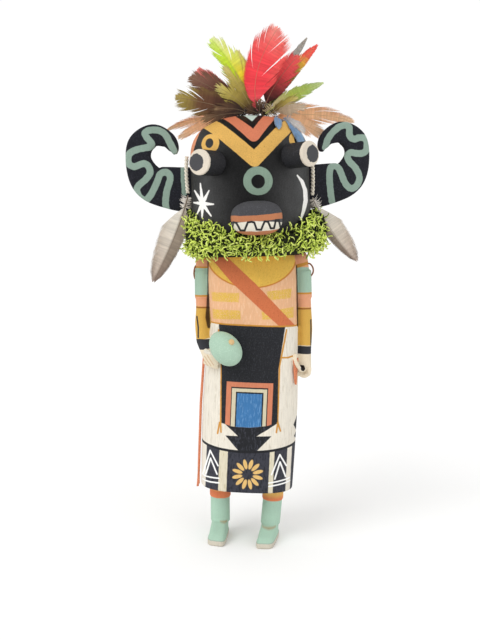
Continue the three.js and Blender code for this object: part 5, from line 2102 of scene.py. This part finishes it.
@dataclass
class Crest:
    """The fan of feathers on the crown, front lane first."""

    offset: float = 5
    pitch: float = 1.32
    fan: float = 0.012

    def rows(self) -> list[tuple]:
        """Each feather's name, root, start, lean, length, width, slot, colours, vane and own settings."""
        dark = 0x1E1512
        blue = Plumage(
            ((0.0, 0x8A97A5), (0.3, 0x5F86B0), (0.7, 0x6E93B8), (1.0, 0x94A9BC)), ends=0xB0A690,
            ends_share=0.35,
        )
        brown = Plumage(
            (
                (0.0, dark), (0.14, 0x33201A), (0.4, 0x4E2E22), (0.66, 0x6B4830), (0.84, 0x94803E),
                (1.0, 0xA89452),
            ),
            ends=0x96803F, ends_share=0.45,
        )
        green = Plumage(
            ((0.0, 0xB09A78), (0.3, 0xBCAE7A), (0.5, 0xA3AE44), (0.75, 0xA2B75A), (1.0, 0xBFCF92)),
            ends=0xC3CC86, ends_share=0.4,
        )
        red = Plumage(
            (
                (0.0, dark), (0.08, 0x7A2A2A), (0.16, 0xE05056), (0.4, 0xEF3E48), (0.7, 0xF24A50),
                (0.9, 0xF1706A), (1.0, 0xF2A094),
            ),
            ends=0xF37468, ends_share=0.45,
        )
        maroon = Plumage(
            ((0.0, dark), (0.3, 0x4A2820), (0.6, 0x6A4234), (0.85, 0x80594A), (1.0, 0x8C6A52)),
            ends=0x7A5A44, ends_share=0.5,
        )
        lime = Plumage(
            (
                (0.0, dark), (0.12, 0x8A7A38), (0.3, 0xB9BC38), (0.55, 0xC3D92C), (0.8, 0xC2DC3C),
                (1.0, 0xD3E77C),
            ),
            (
                (0.0, dark), (0.12, 0xA08038), (0.3, 0xD8B32C), (0.5, 0xE2CB2C), (0.72, 0xD7DC5A),
                (1.0, 0xE0E6A2),
            ),
            0xDBE592, 0.3,
        )
        dark_red = Plumage(
            ((0.0, dark), (0.3, 0x5E2A28), (0.5, 0x9A3A3A), (0.68, 0xDB464A), (1.0, 0xEC5C5A)),
            ends=0x8A5550, ends_share=0.3,
        )
        gold = Plumage(
            ((0.0, dark), (0.3, 0xA88A34), (0.6, 0xCFB43A), (1.0, 0xE0D890)), ends=0xD8CF8A, ends_share=0.5,
        )
        olive = Plumage(
            (
                (0.0, 0x4A4436), (0.4, 0x7F8248), (0.62, 0x9EA046), (0.7, 0xD8B93A), (0.78, 0xE0A844),
                (0.84, 0xE85C4A), (1.0, 0xEE5450),
            )
        )
        pink = Plumage(
            ((0.0, dark), (0.5, 0xC84A48), (0.8, 0xEE6060), (1.0, 0xF08A84)), ends=0xF08A84, ends_share=0.4,
        )
        grey = Plumage(
            ((0.0, 0x4A443E), (0.4, 0x7F8480), (0.8, 0xA9ABA5), (1.0, 0x9A948A)), ends=0x77706A,
            ends_share=0.4,
        )
        tan = Plumage(((0.0, dark), (0.3, 0xB59A6A), (0.6, 0xDCCBA4), (1.0, 0xEBDFC4)))
        draped = {"barbs": 80, "down": 0.08, "down_reach": 2}
        loose = {"fray": 1.0, "down": 0.2}
        wispy = {"fray": 0.45, "down": 0.04, "slope": (30, 12), "barbs": 220}
        tall = {"fray": 0.55, "barbs": 260, "bias": 0.62}
        return [
            ("blue_long", 13.5, 140, 152, 21.5, 7, "blue_feather", blue, Vane.SLIM, draped),
            ("blue_short", 10, -165, -172, 9.5, 4.8, "blue_feather", blue, Vane.SLIM, draped),
            ("brown_low", -9, -70, -76, 36.5, 16.5, "brown_feather", brown, Vane.BROAD, loose),
            ("green", 4, 52, 64, 35.5, 8.2, "green_feather", green, Vane.LEAF, {}),
            ("red_tall", 1, -22, 14, 46.5, 21.5, "red_feather", red, Vane.BROAD, tall),
            ("lime", -3, -10, -28, 45.5, 14, "lime_feather", lime, Vane.BROAD, loose | {"bias": 0.55}),
            ("brown_high", -7, -40, -55, 36, 15.5, "brown_feather", maroon, Vane.BROAD, loose),
            ("red_short", 2.5, 18, 34, 38, 14.5, "red_feather", dark_red, Vane.BROAD, loose),
            ("gold", -2, -3, -14, 36, 8, "lime_feather", gold, Vane.BROAD, loose),
            ("olive_red_tip", 3, 30, 40, 50, 7.4, "olive_feather", olive, Vane.SLIM, {}),
            ("small_red", -6, -38, -46, 36.5, 10, "red_feather", pink, Vane.BROAD, {}),
            ("grey", 4, 22, 31, 50.5, 7, "grey_feather", grey, Vane.LEAF, {}),
            ("tan", -1, -2, -9, 34, 6, "tan_feather", tan, Vane.LEAF, {}),
            ("orange_right", 9, 74, 92, 47.5, 14.5, "tan_feather", ORANGE, Vane.WISP, wispy),
            ("orange_left", -9, -80, -97, 41.5, 8.5, "tan_feather", ORANGE, Vane.WISP, wispy),
        ]

    def tufts(self, name: str, x: float, z: float, sheet: Depth) -> list[Feather]:
        """The loose tufts at the foot of some feathers: root, start, lean, length, width and colours."""
        straw = Plumage(
            ((0.0, 0x2E2218), (0.25, 0x6A5428), (0.55, 0xA08C40), (0.8, 0xBFAE58), (1.0, 0xCFC27A)),
            ends=0xB39A4C, ends_share=0.5,
        )
        dusk = Plumage(
            ((0.0, 0x1E1512), (0.4, 0x3E2A20), (0.8, 0x6A4E38), (1.0, 0x8C7050)), ends=0x5A4230,
            ends_share=0.5,
        )
        sand = Plumage(
            ((0.0, 0x5A4636), (0.3, 0xA48C70), (0.6, 0xB9A288), (1.0, 0xCDB9A0)), ends=0x8A6E58,
            ends_share=0.4,
        )
        pale = Plumage(((0.0, 0x9A9AA0), (0.4, 0xC9C4C2), (1.0, 0xE4DDD6)), ends=0xD8CFC6, ends_share=0.4)
        rows = {
            "lime": ((0, -40, -52, 25, 15, straw), (1, -22, -33, 30, 9, straw)),
            "brown_low": ((1.5, -86, -98, 24, 12, dusk), (3, -60, -84, 18, 11, dusk)),
            "green": ((4, 66, 82, 19, 9, sand), (3, 48, 60, 17, 7, straw)),
            "red_tall": ((0, -70, -70, 9, 8, dusk), (0, 60, 66, 10, 8, dusk), (0, -5, 5, 8, 9, dusk)),
            "orange_right": ((0, 86, 108, 31, 11, ORANGE),),
            "orange_left": ((0, -84, -106, 36, 6, ORANGE),),
            "blue_long": ((1, 118, 130, 13.5, 6, pale),),
        }.get(name, ())
        behind: Depth = lambda px, pz: sheet(px, pz) - 0.7
        return [
            Feather(
                f"{name}_tuft_{k}", (x + off, z), start, lean, length, width, behind, plumage,
                "tan_feather", Vane.TUFT, 90, 0.12, 3.5, 0.8 if name.startswith("orange") else 1.7,
                (44, 16), 0.5, 60 + k,
            )
            for k, (off, start, lean, length, width, plumage) in enumerate(rows)
        ]

    def build(self) -> list[Object]:
        """Makes every feather of the crest."""
        made = []
        rows = self.rows()
        for index, (name, root, start, lean, length, width, slot, plumage, vane, own) in enumerate(rows):
            lane = (index - (len(rows) - 1) / 2) * self.pitch
            x = self.offset + root
            z = HEAD.top(max(0.0, math.hypot(x, lane) - 1)) + 0.95
            sheet = self.draped(lane) if name.startswith("blue") else self.upright(lane)
            feather = Feather(
                "crest_" + name, (x, z), start, lean, length, width, sheet, plumage, slot, vane,
                seed=11 + index, **own,
            )
            made.append(feather.fix(self.tufts(name, x, z, sheet)))
        return made

    def upright(self, lane: float) -> Depth:
        """The sheet of a feather that stands in its lane and leans out a little."""
        return lambda x, z: lane * (1 + self.fan * math.hypot(x - self.offset, z - HEAD_HEIGHT))

    def draped(self, lane: float) -> Depth:
        """The sheet of a feather that lies down over the mask's front."""
        def sheet(x: float, z: float) -> float:
            front = math.sqrt(max(0.0, HEAD.at(min(z, HEAD_HEIGHT)) ** 2 - x * x))
            return -max(-lane, front + 1.25)

        return sheet


@dataclass
class EarDrop:
    """A twisted string at the ear with a pale feather on its end."""

    side: Side
    string_top: float = 0.735
    azimuth: float = 87
    radius: float = 0.8

    @property
    def string_length(self) -> float:
        """How far the string hangs."""
        return 21 if self.side is Side.RIGHT else 24

    def string(self) -> Object:
        """Two plies twisted round each other."""
        sign = self.side.value
        distance = HEAD_RADIUS + 0.35 + self.radius
        plies = []
        for ply in (0, math.pi):
            rings = []
            steps = 90
            for i in range(steps + 1):
                share = i / steps
                sag = 0.5 * math.sin(math.pi * share)
                z = self.string_top * HEAD_HEIGHT - self.radius - share * (self.string_length - 1.6)
                turn = share * self.string_length * 1.5 + ply
                middle = HEAD.round(sign * self.azimuth, distance + sag, z)
                off = Vector((math.cos(turn), math.sin(turn), 0)) * self.radius * 0.7
                lean = Vector((-math.sin(turn), math.cos(turn), -1.4))
                rings.append(
                    [TO_WORLD @ p for p in Carver.across(middle + off, lean, self.radius * 0.72, 8)]
                )
            plies.append(Carver.loft("ply", rings))
        made = Carver.join(f"{self.side.word}_twisted_string", plies)
        tone = Tone(
            f"{self.side.word}_string_cotton", 0xEBE3D4, 0xD3C4AA, 1.8, 0.4, 0.1, 0.1, 0.3, 0.3, 0.12,
        )
        return finish_piece(made, tone.make(), f"{self.side.word}_ear_string")

    def feather(self) -> Object:
        """The pale feather."""
        sign = self.side.value
        right = self.side is Side.RIGHT
        length, outward, width = (50, 22.8, 14) if right else (41.5, 30.8, 12.5)
        top = self.string_top * HEAD_HEIGHT - self.string_length - 0.65
        start = HEAD.round(sign * self.azimuth, HEAD_RADIUS + 0.35 + self.radius, top)
        light = ((0.0, 0xE4DDD3), (0.2, 0xE6DFD4), (0.55, 0xDACFC2), (0.85, 0xC4B4A6), (1.0, 0xA8968A))
        shade = ((0.0, 0xDCD4C8), (0.25, 0xA09282), (0.7, 0x8E7F70), (1.0, 0x8A766A))
        plumage = Plumage(shade, light, 0xCBBFB0, 0.2, 0x5C4A3C) if right else Plumage(
            light, shade, 0xCBBFB0, 0.2, 0x5C4A3C,
        )
        return Feather(
            f"{self.side.word}_ear_feather",
            (start.x, start.z),
            sign * (180 - outward * 0.7),
            sign * (180 - outward * 1.04),
            length,
            width,
            lambda _x, z: start.y - (top - z) * 0.34,
            plumage,
            "plume",
            Vane.EAR,
            240,
            0.15,
            4.2,
            0.1,
            (46, 17),
            0.62 if right else 0.36,
            5 if right else 9,
        ).fix()


@dataclass
class Rattle:
    """The gourd rattle with its peg and handle."""

    centre: Triple = (-14.7, -26.2, 111.5)
    halves: Triple = (7.7, 7.2, 10.2)
    roll: float = -42
    grip: Triple = (-22.2, -13.2, 106.2)

    def build(self) -> Object:
        """Turns the gourd and sets the peg through it."""
        turn = Matrix.Rotation(math.radians(self.roll), 3, "Y")
        middle = AXIS + Vector(self.centre)
        rings = []
        for i in range(33):
            a = math.pi * (i + 0.02) / 32.04
            r = math.sin(a)
            h = -math.cos(a) * self.halves[2]
            pear = 1 + 0.05 * math.cos(a)
            wide, deep = self.halves[0] * r * pear, self.halves[1] * r * pear
            angles = (math.tau * j / 48 for j in range(48))
            rings.append(
                [middle + turn @ Vector((wide * math.cos(b), deep * math.sin(b), h)) for b in angles]
            )
        gourd = Carver.loft("gourd", rings)
        grip = AXIS + Vector(self.grip)
        along = (middle - grip).normalized()
        tip = middle + (along + Vector((0, 0, 0.3))).normalized() * (self.halves[1] + 1.3)
        along = (tip - grip).normalized()
        shares = ((0, 1.5), (0.97, 1.55), (0.99, 1.4), (1, 1.0))
        peg = Carver.loft("peg", [Carver.across(grip.lerp(tip, t), along, r, 16) for t, r in shares])
        made = Carver.join("gourd_rattle", [gourd, peg])
        tone = Tone("rattle_mint", 0xA7C4AF, 0xB4CDBA, 1.4, 0.42, 0.1, 0.05, 0.14, 0.14, 0.09)
        p = tone.start()
        p.lay(p.minus(p.vector("DISTANCE", p.mm(p.place), tuple(tip)), 1.95), 0xD6B584)
        return finish_piece(made, tone.make(p), "rattle")


@dataclass
class Strip:
    """A strip of orange leather against the kilt, its lower end torn in two."""

    name: str
    node: str
    azimuth: float
    top: float
    bottom: float
    width: float
    thickness: float
    flare: float
    split: float
    point: float = 0.0

    def tongue(self, top: float, bottom: float, width: float, aside: float) -> Object:
        """One run of the strip."""
        rings = []
        steps = 26
        for i in range(steps + 1):
            t = i / steps
            z = lerp(bottom, top, t)
            share = (z - self.bottom) / (self.top - self.bottom)
            lift = 0.5 + self.flare * (1 - share) ** 3 + self.thickness / 2
            wide = width * (
                1 + 0.06 * math.sin(z * 1.1)
            ) * {0: 0.35, 1: 0.8}.get(i, 1) * (1 - self.point * (1 - t))
            middle = BODY.beside(self.azimuth, z, lift)
            out = (BODY.beside(self.azimuth, z, lift + 1) - middle).normalized()
            flat = Vector((0, 0, 1)).cross(out)
            swing = aside * (1 - t) ** 1.5
            ring = []
            for p in Carver.superellipse(Vector(), (wide / 2, self.thickness / 2), 4, 16):
                ring.append(middle + flat * (p.x + swing) + out * p.y)
            rings.append(ring)
        return Carver.loft("tongue", rings)

    def build(self) -> Object:
        """Cuts the strip and its torn end."""
        parts = [self.tongue(self.top, self.bottom + self.split, self.width, 0)]
        if self.split:
            parts.append(self.tongue(self.bottom + self.split + 1, self.bottom + 3, self.width * 0.5, 2.2))
            parts.append(self.tongue(self.bottom + self.split + 1, self.bottom, self.width * 0.36, -2.4))
        made = Carver.join(self.name, parts)
        tone = Tone(self.name + "_leather", 0xD58460, 0xC3704C, 1.1, 0.45, 0.14, 0.12, 0.2, 0.2, 0.14)
        return finish_piece(made, tone.make(), self.node)


@dataclass
class ArmbandTie:
    """A thin leather tie that stands off the armband in a loop."""

    side: Side
    figure: Figure
    radius: float = 0.42

    def build(self) -> Object:
        """Bends the tie."""
        sign = self.side.value
        upper = Vector(self.figure.arm_line(self.side)[1])
        out = 4.4 + 0.45 + 0.35 + self.radius
        bulge = -0.7 if self.side is Side.RIGHT else 0.1
        top = 4.2 if self.side is Side.RIGHT else 5.4
        stations = []
        for rise, more in (
            (3.9, -2.6), (3.4, -1.3), (1.3, bulge), (-1.3, bulge), (-3.4, -1.3), (-3.9, -2.6),
        ):
            stations.append(
                ((upper.x + sign * (out + more), upper.y - 1, upper.z + top + rise), self.radius)
            )
        made = Carver.limb(f"{self.side.word}_tie_loop", stations, 10, 7)
        tone = Tone(f"{self.side.word}_tie_thong", 0x9A5E3A, 0x7C4A2C, 1.6, 0.42, 0.1, 0.1, 0.2, 0.2, 0.1)
        return finish_piece(made, tone.make(), f"{self.side.word}_armband_tie")


@dataclass
class Studio:
    """Plain pale floor and soft light."""

    reach: float = 3.0

    def build(self) -> None:
        """Lays the floor, hangs the lights and sets up the white surround."""
        deselect()
        bpy.ops.mesh.primitive_plane_add(size=self.reach * 2, location=(0, 0, -0.0002))
        floor = bpy.context.object
        floor.name = "studio_floor"
        n = Finish("pale_floor")
        colour = n.mix(n.noise(n.place, 3.0, 2.0), 0xFBFBFA, 0xFFFFFF)
        floor.data.materials.append(
            n.shade({"Base Color": colour, "Roughness": 0.9, "Specular IOR Level": 0.0})
        )
        floor.visible_glossy = False
        self.light("key_light", (-0.7, -0.75, 0.85), 35, 1.1)
        self.light("fill_light", (0.6, -0.9, 0.9), 60, 0.35)
        world = bpy.data.worlds.new("white_surround")
        bpy.context.scene.world = world
        world.use_nodes = True
        n = Nodes(world.node_tree)
        sky = world.node_tree.nodes["Background"]
        sky.inputs[0].default_value = (1, 1, 1, 1)
        path = n.add("LightPath").outputs
        aside = n.math("ABSOLUTE", n.split(n.add("TexCoord").outputs["Generated"])[0])
        mirrored = n.minus(n.times(n.math("POWER", aside, 3.0), 2.4), 0.76)
        strength = n.plus(n.times(path["Is Camera Ray"], 0.22), 0.8)
        n.feed(sky.inputs["Strength"], n.plus(strength, n.times(path["Is Glossy Ray"], mirrored)))
        bpy.context.scene.view_settings.view_transform = "Standard"

    def light(self, name: str, at: Triple, spread: float, power: float) -> None:
        """Hangs a broad even light, `spread` degrees wide, that shines from a place on the doll."""
        bpy.ops.object.light_add(type="SUN", location=at)
        lamp = bpy.context.object
        lamp.name = name
        lamp.data.angle = math.radians(spread)
        lamp.data.energy = power
        lamp.rotation_euler = (-Vector(at)).to_track_quat("-Z", "Y").to_euler()
        lamp.visible_glossy = False


def main() -> None:
    """Builds the doll's pieces in order."""
    SIGHT.make()
    Studio().build()
    figure = Figure()
    made = [figure.build()]
    log.info("figure has %d faces", len(made[0].data.polygons))
    horn_paint = HornPaint().make()
    for side in Side:
        made += [Eye(side).build(), Horn(side, horn_paint).build()]
        drop = EarDrop(side)
        made += [drop.string(), drop.feather(), ArmbandTie(side, figure).build()]
    made.append(Snout().build())
    made.append(MossRuff().build())
    made.append(Rattle().build())
    made.append(Strip("hip_leather", "hip_strip", -86, 104, 28.5, 5, 1.2, 0.7, 9).build())
    made.append(Strip("sash_leather", "sash_end", 58, 106, 91.5, 5, 1.0, 0.3, 0, 0.75).build())
    made += Crest().build()
    for piece in made:
        log.info("%s: %d faces", piece.name, len(piece.data.polygons))


if __name__ == "__main__":
    main()
